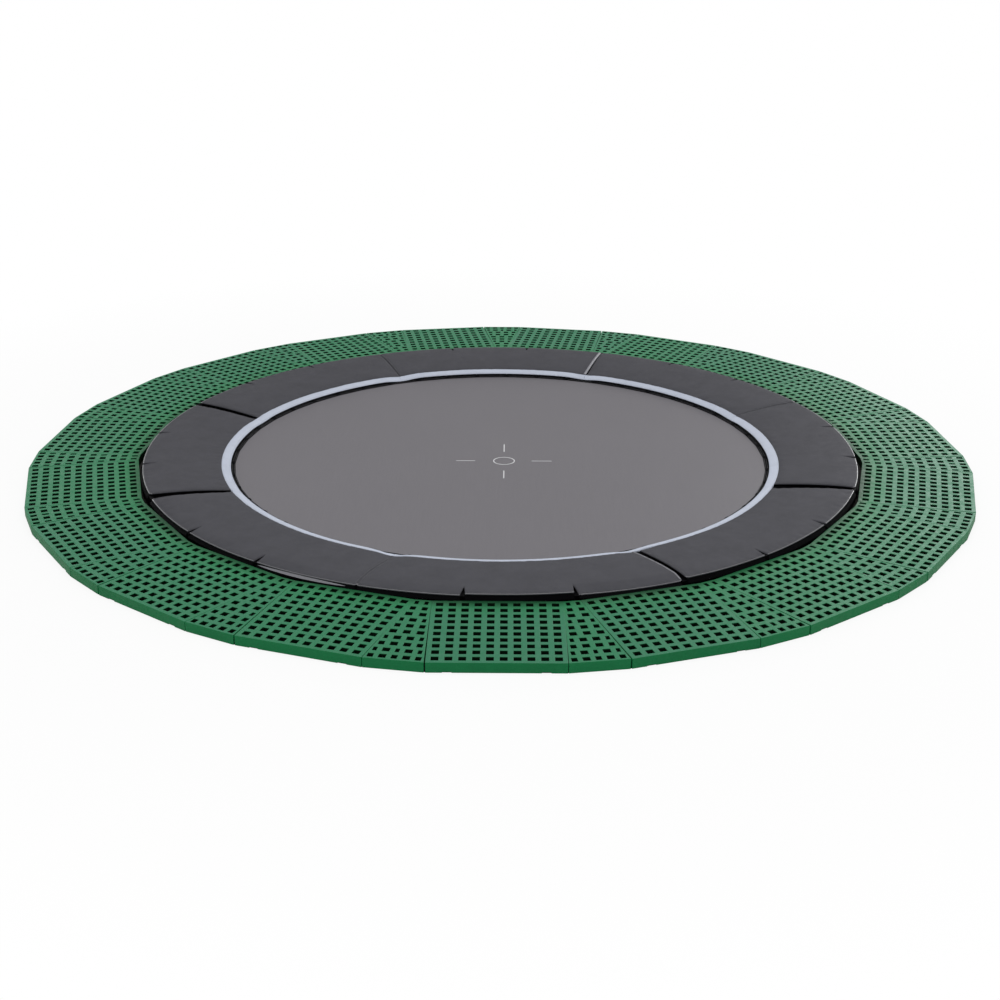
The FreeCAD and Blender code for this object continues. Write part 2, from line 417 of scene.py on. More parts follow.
def zinc_steel(name, colour, roughness, spangle=60.0, dull=0.35):
    """Zinc on steel: crystal spangle, dull patches and small scratches."""
    material, tree, surface = new_material(name, Metallic=1.0, Roughness=roughness)
    where = place(tree)
    crystals = add_node(tree, "ShaderNodeTexVoronoi", {"Vector": where, "Scale": spangle}).outputs["Color"]
    crystal = add_node(tree, "ShaderNodeSeparateColor", {0: crystals}).outputs[0]
    base = blended(tree, crystal, shaded(colour, 0.84), shaded(colour, 1.1))
    patch = patches(tree, where, (16.0, 5.0, 0.62), (0.45, 0.72), 0.0, dull)
    base = blended(tree, patch, base, zinc_bloom)
    rough = calc(tree, "ADD", spread(tree, crystal, 0.0, 1.0, roughness - 0.08, roughness + 0.08),
                 calc(tree, "MULTIPLY", patch, 0.25))
    along = add_node(tree, "ShaderNodeMapping", {"Vector": where, "Scale": (1.0, 1.0, 14.0)}).outputs[0]
    dress_surface(tree, surface, base, speckle(tree, along, 130.0, 3.0), 0.0002, rough, 0.6)
    return material


# Meshes.


def new_object(name, data):
    """An object of this mesh, lamp or camera at the origin."""
    piece = bpy.data.objects.new(name, data)
    bpy.context.scene.collection.objects.link(piece)
    return piece


def new_mesh(name, points, faces, edges=()):
    """A mesh from its points and faces."""
    mesh = bpy.data.meshes.new(name)
    mesh.from_pydata([tuple(map(float, p)) for p in points], list(edges), [tuple(map(int, f)) for f in faces])
    mesh.update()
    return mesh


def quads_between(lines, closed=True):
    """Faces between each two neighbouring lines of point numbers, which may close on themselves."""
    faces = []
    for here, there in zip(lines, lines[1:]):
        for i in range(len(here) if closed else len(here) - 1):
            after = (i + 1) % len(here)
            faces.append((here[i], here[after], there[after], there[i]))
    return faces


def bar_faces(lines, closed):
    """Faces of a bar from the lines of point numbers round its section, with its ends unless it is a loop."""
    sides = quads_between([*lines, lines[0]], closed)
    return sides if closed else sides + [tuple(line[i] for line in lines) for i in (0, -1)]


def face_out(mesh):
    """Points a closed mesh's faces outwards."""
    work = bmesh.new()
    work.from_mesh(mesh)
    bmesh.ops.recalc_face_normals(work, faces=work.faces)
    work.to_mesh(mesh)
    work.free()
    return mesh


def moved(mesh, degrees, name):
    """A copy of a mesh, turned about the ring's axis."""
    copy = mesh.copy()
    copy.name = name
    copy.transform(Matrix.Rotation(math.radians(degrees), 4, "Z"))
    return copy


def with_value(mesh, name, values):
    """Stores one number at each point of a mesh."""
    attribute = mesh.attributes.get(name) or mesh.attributes.new(name, "FLOAT", "POINT")
    attribute.data.foreach_set("value", np.asarray(values, np.float32).ravel())
    return mesh


def with_uv(mesh, places):
    """Lays a mesh out flat: a place in metres for each of its points."""
    layer = mesh.uv_layers.new(name="UVMap")
    corners = np.empty(len(mesh.loops), np.int32)
    mesh.loops.foreach_get("vertex_index", corners)
    layer.data.foreach_set("uv", np.asarray(places, np.float32)[corners].ravel())
    return mesh


def smooth(mesh, sharp_angle=50):
    """Shades a mesh smooth, and keeps edges sharper than an angle in degrees."""
    mesh.shade_smooth()
    mesh.set_sharp_from_angle(angle=math.radians(sharp_angle))
    return mesh


def finished(mesh, body, materials, replaces=()):
    """The piece of a mesh, with its finishes, its body and the CAD nodes that it stands for."""
    piece = new_object(mesh.name, mesh)
    if mesh.materials:
        mesh.materials.clear()
    for material in materials:
        mesh.materials.append(material)
    if replaces:
        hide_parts(*replaces)
    if body:
        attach(piece, body)
    return piece


def geometry_tree(name, inputs):
    """A geometry tree with named inputs, given as (name, socket type, value)."""
    tree = bpy.data.node_groups.new(name, "GeometryNodeTree")
    tree.interface.new_socket("Geometry", in_out="INPUT", socket_type="NodeSocketGeometry")
    for label, kind, value in inputs:
        socket = tree.interface.new_socket(label, in_out="INPUT", socket_type=kind)
        if value is not None:
            socket.default_value = value
    tree.interface.new_socket("Geometry", in_out="OUTPUT", socket_type="NodeSocketGeometry")
    return tree, add_node(tree, "NodeGroupInput").outputs


def close_tree(tree, geometry, material):
    """Ends a geometry tree in Realize Instances and Set Material."""
    real = add_node(tree, "GeometryNodeRealizeInstances", {"Geometry": geometry})
    done = add_node(tree, "GeometryNodeSetMaterial", {"Geometry": real.outputs[0], "Material": material})
    add_node(tree, "NodeGroupOutput", {"Geometry": done.outputs[0]})


def grown(base, tree, values, bevel=0.0):
    """The plain mesh that a geometry tree makes from a base mesh, with its weighted edges rounded."""
    holder = bpy.data.objects.new("base", base)
    modifier = holder.modifiers.new("grow", "NODES")
    modifier.node_group = tree
    for item in tree.interface.items_tree:
        if item.item_type == "SOCKET" and item.in_out == "INPUT" and item.name in values:
            modifier[item.identifier] = values[item.name]
    if bevel:
        rounding = holder.modifiers.new("edges", "BEVEL")
        rounding.limit_method = "WEIGHT"
        rounding.width = bevel
        rounding.segments = 2
        rounding.loop_slide = False
    bpy.context.scene.collection.objects.link(holder)
    graph = bpy.context.evaluated_depsgraph_get()
    mesh = bpy.data.meshes.new_from_object(
        holder.evaluated_get(graph), preserve_all_data_layers=True, depsgraph=graph)
    bpy.data.objects.remove(holder)
    return mesh


# Lattice tiles.

wedge_rows = ("SS", "MM", "FF", "SFS", "MFM", "FFF", "SFFS", "MFFM", "SFSFS", "MFMFM")
small_hole = 0.014
medium_hole = 0.020
recess_places = (0.15, 0.85)
recess_half_width = 0.0145
recess_ramp = 0.0015
outer_wall = 0.0035
wear_depth = 0.0024
same_place = 1e-5
rounded_turn = 0.5
most_tint = 0.35


def lattice_tree():
    """A flat outline with a point in each hole grows into a block with square holes through it."""
    tree, given = geometry_tree("lattice", (("Height", "NodeSocketFloat", 0.036),
                                            ("Material", "NodeSocketMaterial", None)))
    width = add_node(tree, "GeometryNodeInputNamedAttribute", {"Name": "hole_width"}).outputs[0]
    depth = add_node(tree, "GeometryNodeInputNamedAttribute", {"Name": "hole_length"}).outputs[0]
    is_hole = add_node(tree, "FunctionNodeCompare", {0: width, 1: 0.0}, operation="GREATER_THAN").outputs[0]
    centres = add_node(tree, "GeometryNodeMeshToPoints", {"Mesh": given["Geometry"], "Selection": is_hole})
    square = add_node(tree, "GeometryNodeCurvePrimitiveQuadrilateral", {"Width": 1.0, "Height": 1.0})
    size = add_node(tree, "ShaderNodeCombineXYZ", {"X": width, "Y": depth, "Z": 1.0})
    holes = add_node(tree, "GeometryNodeInstanceOnPoints", {
        "Points": centres.outputs[0], "Instance": square.outputs[0], "Scale": size.outputs[0]})
    real_holes = add_node(tree, "GeometryNodeRealizeInstances", {"Geometry": holes.outputs[0]})
    outline = add_node(tree, "GeometryNodeMeshToCurve", {"Mesh": given["Geometry"]})
    loops = add_node(tree, "GeometryNodeJoinGeometry")
    tree.links.new(real_holes.outputs[0], loops.inputs[0])
    tree.links.new(outline.outputs[0], loops.inputs[0])
    sheet = add_node(tree, "GeometryNodeFillCurve", {"Curve": loops.outputs[0]}).outputs[0]
    rise = add_node(tree, "ShaderNodeCombineXYZ", {"Z": given["Height"]})
    block = add_node(tree, "GeometryNodeExtrudeMesh", {
        "Mesh": sheet, "Offset": rise.outputs[0], "Offset Scale": 1.0, "Individual": False}, mode="FACES")
    under = add_node(tree, "GeometryNodeFlipFaces", {"Mesh": sheet})
    both = add_node(tree, "GeometryNodeJoinGeometry")
    tree.links.new(block.outputs[0], both.inputs[0])
    tree.links.new(under.outputs[0], both.inputs[0])
    closed = add_node(tree, "GeometryNodeMergeByDistance", {
        "Geometry": both.outputs[0], "Distance": same_place})
    angle = add_node(tree, "GeometryNodeInputMeshEdgeAngle").outputs[0]
    turns = add_node(
        tree, "FunctionNodeCompare", {0: angle, 1: rounded_turn}, operation="GREATER_THAN").outputs[0]
    middle = add_node(tree, "GeometryNodeInputPosition").outputs[0]
    level = add_node(tree, "ShaderNodeSeparateXYZ", {"Vector": middle}).outputs["Z"]
    raised = add_node(tree, "FunctionNodeCompare", {
        0: level, 1: calc(tree, "MULTIPLY", given["Height"], 0.25)}, operation="GREATER_THAN").outputs[0]
    rounded = add_node(tree, "FunctionNodeBooleanMath", {0: turns, 1: raised}, operation="AND").outputs[0]
    weighted = add_node(tree, "GeometryNodeStoreNamedAttribute", {
        "Geometry": closed.outputs[0], "Name": "bevel_weight_edge", "Value": rounded},
        data_type="FLOAT", domain="EDGE")
    close_tree(tree, weighted.outputs[0], given["Material"])
    return tree


def hole_base(outline, holes):
    """A flat mesh with an outline as edges and a loose point, with its hole's size, for each hole."""
    count = len(outline)
    points = [(x, y, 0.0) for x, y in outline] + [(x, y, 0.0) for x, y, _, _ in holes]
    mesh = new_mesh("hole_base", points, [], [(i, (i + 1) % count) for i in range(count)])
    with_value(mesh, "hole_width", [0.0] * count + [hole[2] for hole in holes])
    with_value(mesh, "hole_length", [0.0] * count + [hole[3] for hole in holes])
    return mesh


def outer_edge(left, right, y):
    """Points of a tile's outer edge from left to right, with the ends of its recesses."""
    places = [left, right]
    for share in recess_places:
        centre = left + share * (right - left)
        for reach in (recess_half_width, recess_half_width + recess_ramp):
            places += [centre - reach, centre + reach]
    return [(x, y) for x in sorted(places)]


def finish_lattice(mesh, outer_line, spans, recess_height):
    """Cuts the recesses under the outer wall, stores how far below the top each point lies, for painted shade
    and dirt on all but the outer wall, and stores where edges wear.
    """
    points = np.array([v.co for v in mesh.vertices])
    top = points[:, 2].max()
    on_wall = (points[:, 2] < same_place) & (np.abs(points[:, 1] - outer_line) < same_place)
    for low, high in spans:
        points[on_wall & (points[:, 0] > low) & (points[:, 0] < high), 2] = recess_height
    mesh.vertices.foreach_set("co", points.ravel())
    below = top - points[:, 2]
    with_value(mesh, "hole_depth", np.clip(below / top, 0, 1) * (points[:, 1] < outer_line - outer_wall))
    with_value(mesh, "edge_wear", (below > same_place) & (below < wear_depth))
    mesh.update()
    return mesh


def recess_spans(left, right):
    """The stretches of an outer edge that lie over its recesses."""
    centres = [left + share * (right - left) for share in recess_places]
    reach = recess_half_width + recess_ramp / 2
    return [(centre - reach, centre + reach) for centre in centres]


def square_tile_mesh(tree, material, sizes):
    """One square tile: x across it, y outwards from the ring's centre."""
    low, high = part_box(tile_nodes[0])
    side = high.x - low.x
    inner, outer = -high.y, -low.y
    reach = side / 2 - sizes.tile_border - sizes.hole_side / 2
    middles = np.linspace(-reach, reach, sizes.hole_rows)
    holes = [(x, inner + side / 2 + y, sizes.hole_side, sizes.hole_side) for x in middles for y in middles]
    outline = [(side / 2, inner), (-side / 2, inner)] + outer_edge(-side / 2, side / 2, outer)
    mesh = grown(hole_base(outline, holes), tree, {"Height": tile_top, "Material": material},
                 bevel=sizes.tile_edge)
    return finish_lattice(mesh, outer, recess_spans(-side / 2, side / 2), sizes.recess_height)


def wedge_tile_mesh(tree, material, sizes):
    """One wedge tile: rows of two to five holes, small and medium ones where a full one doesn't fit."""
    corners = turned(corners_of(wedge_nodes[0]), 90 - bearing_of(wedge_nodes[0]))
    inner, outer = corners[:, 1].min(), corners[:, 1].max()
    narrow = np.abs(corners[corners[:, 1] < inner + same_place, 0]).max()
    wide = np.abs(corners[corners[:, 1] > outer - same_place, 0]).max()
    pitch = (outer - inner) / len(wedge_rows)
    kinds = {"S": small_hole, "M": medium_hole, "F": sizes.hole_side}
    holes = []
    for row, pattern in enumerate(wedge_rows):
        y = inner + pitch * (row + 0.5)
        width = 2 * np.interp(y, (inner, outer), (narrow, wide))
        widths = [kinds[letter] for letter in pattern]
        rib = (width - sum(widths)) / len(widths)
        x = -width / 2 + rib / 2
        for hole in widths:
            holes.append((x + hole / 2, y, hole, sizes.hole_side))
            x += hole + rib
    outline = [(narrow, inner), (-narrow, inner), (-wide, outer), (wide, outer)]
    mesh = grown(hole_base(outline, holes), tree, {"Height": tile_top, "Material": material},
                 bevel=sizes.tile_edge)
    return finish_lattice(mesh, outer, [], 0.0)


def dress_tiles(mesh, nodes, name, material, seed):
    """Copies a tile to the place of each node, each with its own tint."""
    chance = np.random.default_rng(seed)
    for number, node in enumerate(nodes, 1):
        copy = moved(mesh, bearing_of(node) - 90, f"{name}_{number:02d}")
        with_value(copy, "tile_tint", np.full(len(copy.vertices), chance.uniform(0.0, most_tint)))
        finished(copy, "frame", [material], [node])


class TRAMPOLINE_OT_tiles(bpy.types.Operator):
    """Make the square and wedge lattice tiles of the safety ring"""

    bl_idname = "trampoline.tiles"
    bl_label = "Lattice tiles"

    def execute(self, context):
        sizes = context.scene.trampoline_sizes
        material = tile_rubber(context.scene.trampoline_colours)
        tree = lattice_tree()
        dress_tiles(square_tile_mesh(tree, material, sizes), tile_nodes, "lattice_tile", material, 3)
        dress_tiles(wedge_tile_mesh(tree, material, sizes), wedge_nodes, "lattice_wedge", material, 5)
        return {"FINISHED"}


# Padding.

# The ends of the pads at each joint, from the one before pad_1 onwards. Distances along the
# ring from the joint's bearing: the seam of the two bands, the outer and inner corner of the
# pad before it, the outer and inner corner of the pad after it. Then how far the band droops,
# and how far the ends of the pads before and after it lie below the rest.
joints = (
    (0.016, 0.0300, 0.0300, 0.0316, 0.0316, 0.0110, 0.0000, 0.0000),
    (-0.012, 0.0080, -0.0080, 0.0290, 0.0240, 0.0080, 0.0000, 0.0000),
    (-0.010, 0.0145, -0.0330, 0.0440, 0.0170, 0.0030, 0.0045, 0.0000),
    (-0.024, -0.0275, -0.0255, -0.0250, -0.0235, 0.0040, 0.0000, 0.0000),
    (-0.016, -0.0010, -0.0230, 0.0080, -0.0090, 0.0060, 0.0035, 0.0000),
    (0.010, -0.0120, 0.0000, -0.0060, 0.0050, 0.0080, 0.0000, 0.0000),
    (0.002, -0.0490, -0.0150, -0.0120, 0.0120, 0.0040, 0.0000, 0.0030),
    (0.006, -0.0440, -0.0120, -0.0030, 0.0100, 0.0030, 0.0000, 0.0040),
)
# How far the outer edge of each flap between joints and slits hangs down, from pad_1 onwards.
flap_drops = np.array((
    0.005, -0.001, 0.010, 0.001, 0.001, 0.001, 0.002, 0.000, 0.000, 0.000, 0.000, 0.000,
    0.000, 0.000, 0.000, 0.000, 0.000, 0.000, 0.000, 0.000, 0.000, 0.004, 0.005, 0.005))
# How the ends of the pads and the band sag beside a joint, and how they are rounded.
still_share = 0.45
band_gap = 0.0008
seam_step = 0.001
droop_reach, droop_width = 0.060, 0.05
dip_reach, dip_width = 0.035, 0.03
corner_round = 0.009
edge_round = 0.0045
end_round = 0.0012
lip_round = 0.0013
# Ends given a pale grey tape, a painted highlight where the light catches them, as (joint, side) and the
# tape's thickness.
highlight_ends = {(1, 0): 0.0075, (4, 1): 0.0135}

# The slits in a pad's outer edge: bearings from the pad's middle, and the lips beside them.
slit_bearings = (-7.5, 7.5)
odd_slits = {1: (-6.95, 7.9)}
slit_steps = range(-3, 4)
slit_start = 0.0010
slit_clearance = 0.0125
lip_spacing = 0.0022
apex_reach = 0.02
apex_depth = 0.5

# The cover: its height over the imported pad, its cloth under pressure, and its folds.
pad_arch = 0.005
lip_rise = 0.0018
lip_fall = 0.0003
cover_rise = 0.0005
seat_room = 0.0015
hem_rise = 0.0010
webbing_room = 0.0008
least_thickness = 0.0014
cloth_grid = 0.014
cloth_frames = 20
cloth_pressure = 4.0
cloth_slack = 0.012
first_seed = 40
slack_lift = 0.002
slack_chance = 0.0012
foam_depth = 0.012
band_crown = 0.0012
seam_depth = 0.0011
seam_place, seam_width = 0.0008, 0.0016
fold_reach, fold_depth, fold_scale = 0.016, 0.0011, 34
swell_depth, swell_scale = 0.0010, 5.5

# The grid of a pad's points, and distances between its close rows and columns: from its ends,
# from its inner edge, from the band's seam outwards and from its outer edge inwards.
pad_grid = 0.008
end_steps = (0.0006, 0.0022, 0.0048)
lip_inset = 0.0006
lip_steps = (0.0, 0.0008, 0.0022, 0.0045)
band_row = 0.0065
seam_steps = (-0.0035, -0.0010, 0.0, 0.0008, 0.0030)
edge_steps = (0.0055, 0.0028, 0.0010, 0.0)
side_rows = 4
side_spread = 0.006
underside_shift = 0.03
top_finish, band_finish, side_finish, highlight_finish = 0, 1, 2, 3

# Stitches and piping over the cover.
thread_lift = 0.0003
piping_inset = 0.9992
piping_rise = 0.62

# The black flaps behind gaps and the skirt that hangs to the ground, dark sheets that also stand in for the
# shade in the gaps, and the hem turned out under one pad, between two bearings from its middle.
cover_thickness = 0.0014
flap_reach = 0.065
flap_drop = 0.0008
flap_inset = 0.0075
flap_below = 0.0020
flap_knee = 0.016
flap_end = 0.004
rail_side_radii = (1.30, 1.40)
skirt_foot = 0.004
skirt_wave = 0.0012
skirt_gap = 0.0030
skirt_grid = (120, 5)
turned_hem = {8: (8.1, 22.2)}
turned_hem_middle = (0.0055, -0.0125)
turned_hem_reach = (0.0042, -0.0036)
hem_grid = (30, (-1.0, -0.3, 0.3, 1.0))
hem_thickness = 0.0006

pad_lip, pad_band, pad_seat, pad_seat_end, pad_edge, pad_hem = section_of("pad_1")
pad_turn = 360 / len(pad_nodes)


def share_between(value, low, high):
    """Share from 0 to 1 of a value's way from low to high."""
    return np.clip((value - low) / (high - low), 0.0, 1.0)


def quarter_round(distance, radius):
    """Drop of a rounded edge at a distance from the edge."""
    return radius * (1 - np.sqrt(1 - np.clip(1 - distance / radius, 0, 1) ** 2))


def cubic_weights(count, places):
    """Weights of a smooth curve through evenly spaced values, at places from 0 to count - 1."""
    weights = np.zeros((len(places), count))
    start = np.clip(np.floor(places).astype(int), 0, count - 2)
    t = places - start
    parts = ((2 * t ** 2 - t - t ** 3) / 2, (2 - 5 * t ** 2 + 3 * t ** 3) / 2,
             (t + 4 * t ** 2 - 3 * t ** 3) / 2, (t ** 3 - t ** 2) / 2)
    for step, part in zip((-1, 0, 1, 2), parts):
        np.add.at(weights, (np.arange(len(places)), np.clip(start + step, 0, count - 1)), part)
    return weights


def end_place(joint, side, radius, band_edge):
    """How far along the ring from a joint the pad before it (side 0) or after it (side 1) ends."""
    band, outer, inner = joints[joint][0], joints[joint][1 + 2 * side], joints[joint][2 + 2 * side]
    cloth = inner + (outer - inner) * share_between(radius, band_edge, pad_edge[0])
    seam = band + (side - 0.5) * band_gap
    return seam + (cloth - seam) * share_between(radius, band_edge - seam_step, band_edge)


def pad_lines(sizes):
    """Distances from the axis of the band's seam and of the inner ends of the slits."""
    return pad_lip[0] + sizes.band_width, pad_edge[0] - sizes.slit_length


def pad_ends(number):
    """The joints at a pad's start and end, each with the side of the joint that the pad lies on."""
    return (number - 1, 1), (number % len(joints), 0)


def pad_bearings(number, share, radius, band_edge):
    """Bearings at shares from -1 to 1 of a pad's length, between its ends at the two joints."""
    bearing = bearing_of(f"pad_{number}") + share * pad_turn / 2
    for (joint, side), near in zip(pad_ends(number), (-share, share)):
        pull = share_between(near, still_share, 1.0)
        bearing = bearing + pull * np.degrees(end_place(joint, side, radius, band_edge) / radius)
    return bearing


def pad_top(radius, band_edge):
    """Height of a pad's upper side before it is filled."""
    across = share_between(radius, band_edge, pad_edge[0])
    heights = (pad_lip[1] + lip_rise, pad_band[1] + cover_rise, pad_edge[1] + cover_rise)
    line = np.interp(radius, (pad_lip[0], band_edge, pad_edge[0]), heights)
    return 4 * pad_arch * across * (1 - across) + line


def pad_bottom(radius):
    """Height of a pad's underside, clear of the straps over the rail."""
    seat = pad_seat[1] + seat_room
    return np.interp(radius, (pad_lip[0], pad_seat[0], pad_seat_end[0], pad_hem[0]),
                     (pad_lip[1] - lip_fall, seat, seat, pad_hem[1] + hem_rise))


def grid_faces(columns, rows, start=0):
    """Faces of a grid of points that are counted along its rows first."""
    corners = [start + c * rows + r for c in range(columns - 1) for r in range(rows - 1)]
    return [(a, a + rows, a + rows + 1, a + 1) for a in corners]


def border_of(columns, rows):
    """Indices round the border of a grid, anticlockwise from its first corner."""
    start_side = [(0, r) for r in range(rows - 1)]
    outer_side = [(c, rows - 1) for c in range(columns - 1)]
    end_side = [(columns - 1, r) for r in range(rows - 1, 0, -1)]
    inner_side = [(c, 0) for c in range(columns - 1, 0, -1)]
    return start_side + outer_side + end_side + inner_side


def cover_cage(number, band_edge):
    """A pad's cover before it is filled: its closed mesh, the points held still, and its heights."""
    radii = np.linspace(band_edge, pad_edge[0], round((pad_edge[0] - band_edge) / cloth_grid) + 1)
    length = math.radians(pad_turn) * pad_edge[0]
    shares = np.linspace(-1, 1, round(length / cloth_grid) + 1)
    share, radius = np.meshgrid(shares, radii, indexing="ij")
    base = pad_top(radius, band_edge)
    border = tuple(np.transpose(border_of(*base.shape)))
    is_border = np.zeros(base.shape, bool)
    is_border[border] = True
    chance = np.random.default_rng(first_seed + number)
    slack = slack_lift + chance.uniform(-slack_chance, slack_chance, base.shape)
    bearing = pad_bearings(number, share, radius, band_edge)
    top = on_ring(radius, bearing, base + np.where(is_border, 0.0, slack)).reshape(-1, 3)
    under = on_ring(radius, bearing, base - foam_depth).reshape(-1, 3)
    rim = np.arange(base.size).reshape(base.shape)[border]
    faces = grid_faces(*base.shape) + grid_faces(*base.shape, start=base.size)
    faces += quads_between([rim, rim + base.size])
    mesh = face_out(new_mesh("cover", np.concatenate([top, under]), faces))
    held = [*np.flatnonzero(is_border.ravel()).tolist(), *range(base.size, 2 * base.size)]
    return mesh, held, base


def cover_under_pressure(number, band_edge):
    """How high a pad's cover swells over a grid, as cloth under pressure that is held at its seams."""
    mesh, held, base = cover_cage(number, band_edge)
    holder = new_object("cover", mesh)
    holder.vertex_groups.new(name="held").add(held, 1.0, "REPLACE")
    cloth = holder.modifiers.new("cover", "CLOTH")
    settings = cloth.settings
    settings.quality = 5
    settings.mass = 0.3
    settings.vertex_group_mass = "held"
    settings.use_pressure = True
    settings.uniform_pressure_force = cloth_pressure
    settings.tension_stiffness = settings.compression_stiffness = 25.0
    settings.shear_stiffness = 10.0
    settings.bending_stiffness = 0.8
    settings.shrink_min = -cloth_slack
    settings.effector_weights.gravity = 0.0
    cloth.collision_settings.use_collision = False
    cloth.point_cache.frame_start = 1
    cloth.point_cache.frame_end = cloth_frames
    for moment in range(1, cloth_frames + 1):
        bpy.context.scene.frame_set(moment)
    graph = bpy.context.evaluated_depsgraph_get()
    settled = holder.evaluated_get(graph).to_mesh()
    points = np.empty(len(settled.vertices) * 3)
    settled.vertices.foreach_get("co", points)
    holder.evaluated_get(graph).to_mesh_clear()
    bpy.data.objects.remove(holder)
    bpy.context.scene.frame_set(1)
    return points.reshape(-1, 3)[:base.size, 2].reshape(base.shape) - base


def pad_columns(bearings):
    """Places along a pad with slits at these bearings: its share of half the length, and its step from
    the middle of a slit, if any."""
    half = math.radians(pad_turn / 2) * pad_edge[0]
    ends = 1 - np.array(end_steps) / half
    plain = np.concatenate([np.linspace(-1, 1, round(2 * half / pad_grid) + 1), ends, -ends])
    slits = [bearing / (pad_turn / 2) for bearing in bearings]
    columns = [(share, None) for share in plain
               if min(abs(share - slit) for slit in slits) * half > slit_clearance]
    columns += [(slit, step) for slit in slits for step in slit_steps]
    return sorted(columns, key=lambda column: (column[0], column[1] or 0))


def pad_radii(band_edge):
    """Distances from the axis of a pad's rows, close together at its seams and edges."""
    lip, edge = pad_lip[0] + lip_inset, pad_edge[0]
    rows = [lip + step for step in lip_steps]
    rows += list(np.arange(lip + 0.010, band_edge - 0.006, band_row))
    rows += [band_edge + step for step in seam_steps]
    rows += list(np.linspace(band_edge + 0.008, edge - 0.010, round((edge - band_edge) / pad_grid)))
    return np.array(rows + [edge - step for step in edge_steps])


def smoothed_lift(swelling, shares, radii, band_edge, most):
    """A cover's swelling at the points of a pad's grid, held to the most that it may be."""
    along = cubic_weights(swelling.shape[0], (shares + 1) / 2 * (swelling.shape[0] - 1))
    reach = share_between(radii, band_edge, pad_edge[0])
    across = cubic_weights(swelling.shape[1], reach * (swelling.shape[1] - 1))
    return most * np.tanh(np.maximum(along @ swelling @ across.T, 0) / most)


def puckers(span, radius, band_edge, number):
    """Small folds that gather at the band's seam, and a slow unevenness everywhere."""
    folds = np.zeros(span.shape)
    for i in np.ndindex(folds.shape):
        where = Vector((span[i], radius[i], 3.7 * number))
        gather = math.exp(-abs(radius[i] - band_edge) / fold_reach)
        folds[i] = (fold_depth * gather * noise.noise(where * fold_scale)
                    + swell_depth * noise.noise(where * swell_scale))
    return folds


def past_slit(share, step, slit):
    """Whether points of a pad, at shares of its half length and steps from a slit, lie past a slit."""
    beyond = share - slit / (pad_turn / 2)
    return np.where(np.abs(beyond) < same_place, step > 0, beyond > 0).astype(int)


def slit_columns(step):
    """Which columns of a pad's grid lie in the middle of a slit."""
    return (step[:, 0] == 0) & (np.append(0, step[:-1, 0]) == -1)


def pad_grid_points(number, sizes, swelling):
    """The grids of points of a pad's upper side and underside, its steps and its radii."""
    band_edge, slit_end = pad_lines(sizes)
    slits = odd_slits.get(number, slit_bearings)
    places = pad_columns(slits)
    radii = pad_radii(band_edge)
    shares = np.array([share for share, _ in places])
    share, row = np.meshgrid(shares, radii, indexing="ij")
    step = np.repeat([[step or 0] for _, step in places], len(radii), axis=1)
    is_apex = np.repeat([[step == 0] for _, step in places], len(radii), axis=1) & (row > slit_end)
    before, after = (joints[joint] for joint, side in pad_ends(number))

    half = math.radians(pad_turn / 2) * row
    to_start, to_end = (1 + share) * half, (1 - share) * half
    corner = quarter_round(np.minimum(to_start, to_end), corner_round)
    outermost = share_between(row, pad_edge[0] - 3 * corner_round, pad_edge[0])
    radius = row - corner * outermost
    radius = np.where(is_apex, slit_end + (row - slit_end) * apex_reach, radius)
    opening = slit_start + (sizes.slit_width / 2 - slit_start) * share_between(row, slit_end, pad_edge[0])
    aside = np.sign(step) * (opening + (np.abs(step) - 1) * lip_spacing)
    bearing = pad_bearings(number, share, row, band_edge) + np.degrees(aside / row)

    span = np.radians(bearing) * pad_edge[0]
    lift = smoothed_lift(swelling, shares, radii, band_edge, sizes.pad_crown)
    in_band = share_between(row, pad_lip[0], band_edge)
    seam = np.exp(-((row - band_edge - seam_place) / seam_width) ** 2)
    droop = (before[5] * np.exp(-(to_start / droop_reach) ** 2)
             + after[5] * np.exp(-(to_end / droop_reach) ** 2))
    droop = droop * share_between(row, pad_seat[0] - droop_width, pad_lip[0])
    dip = before[7] * np.exp(-to_start / dip_reach) + after[6] * np.exp(-to_end / dip_reach)
    dip = dip * share_between(row, band_edge, band_edge + dip_width)
    flap = 3 * (number - 1) + np.sum([past_slit(share, step, slit) for slit in slits], axis=0)
    hang = flap_drops[flap] * share_between(row, slit_end, pad_edge[0])
    to_border = np.minimum(np.minimum(to_start, to_end), pad_edge[0] - row)
    lips = np.where((step != 0) & (row > slit_end), (np.abs(step) - 1) * lip_spacing, 1.0)
    round_edge = np.where(row < band_edge, end_round, edge_round)
    rounded = quarter_round(np.minimum(to_border, lips), round_edge)
    rounded = rounded + quarter_round(row - radii[0], lip_round)
    height = pad_top(row, band_edge) + lift + puckers(span, row, band_edge, number)
    height = height + band_crown * np.sin(np.pi * in_band) - seam_depth * seam - droop - dip - hang - rounded
    under = np.maximum(pad_bottom(row) - droop, webbing_high + webbing_room)
    apex_top, apex_low = pad_top(slit_end, band_edge), pad_bottom(slit_end)
    apex_share = share_between(row, slit_end, pad_edge[0]) * apex_depth
    height = np.where(is_apex, apex_top + (apex_low - apex_top) * apex_share, height)
    under = np.where(is_apex, apex_low, under)
    height = np.where(is_apex, height, np.maximum(height, under + least_thickness))
    flare = (pad_hem[0] - pad_edge[0] - 0.001) * share_between(row, pad_seat_end[0], pad_edge[0])
    under_radius = radius + np.where(is_apex, 0, flare)
    top = on_ring(radius, bearing, height)
    low = on_ring(under_radius, bearing, under)
    return top, low, step, radii, span


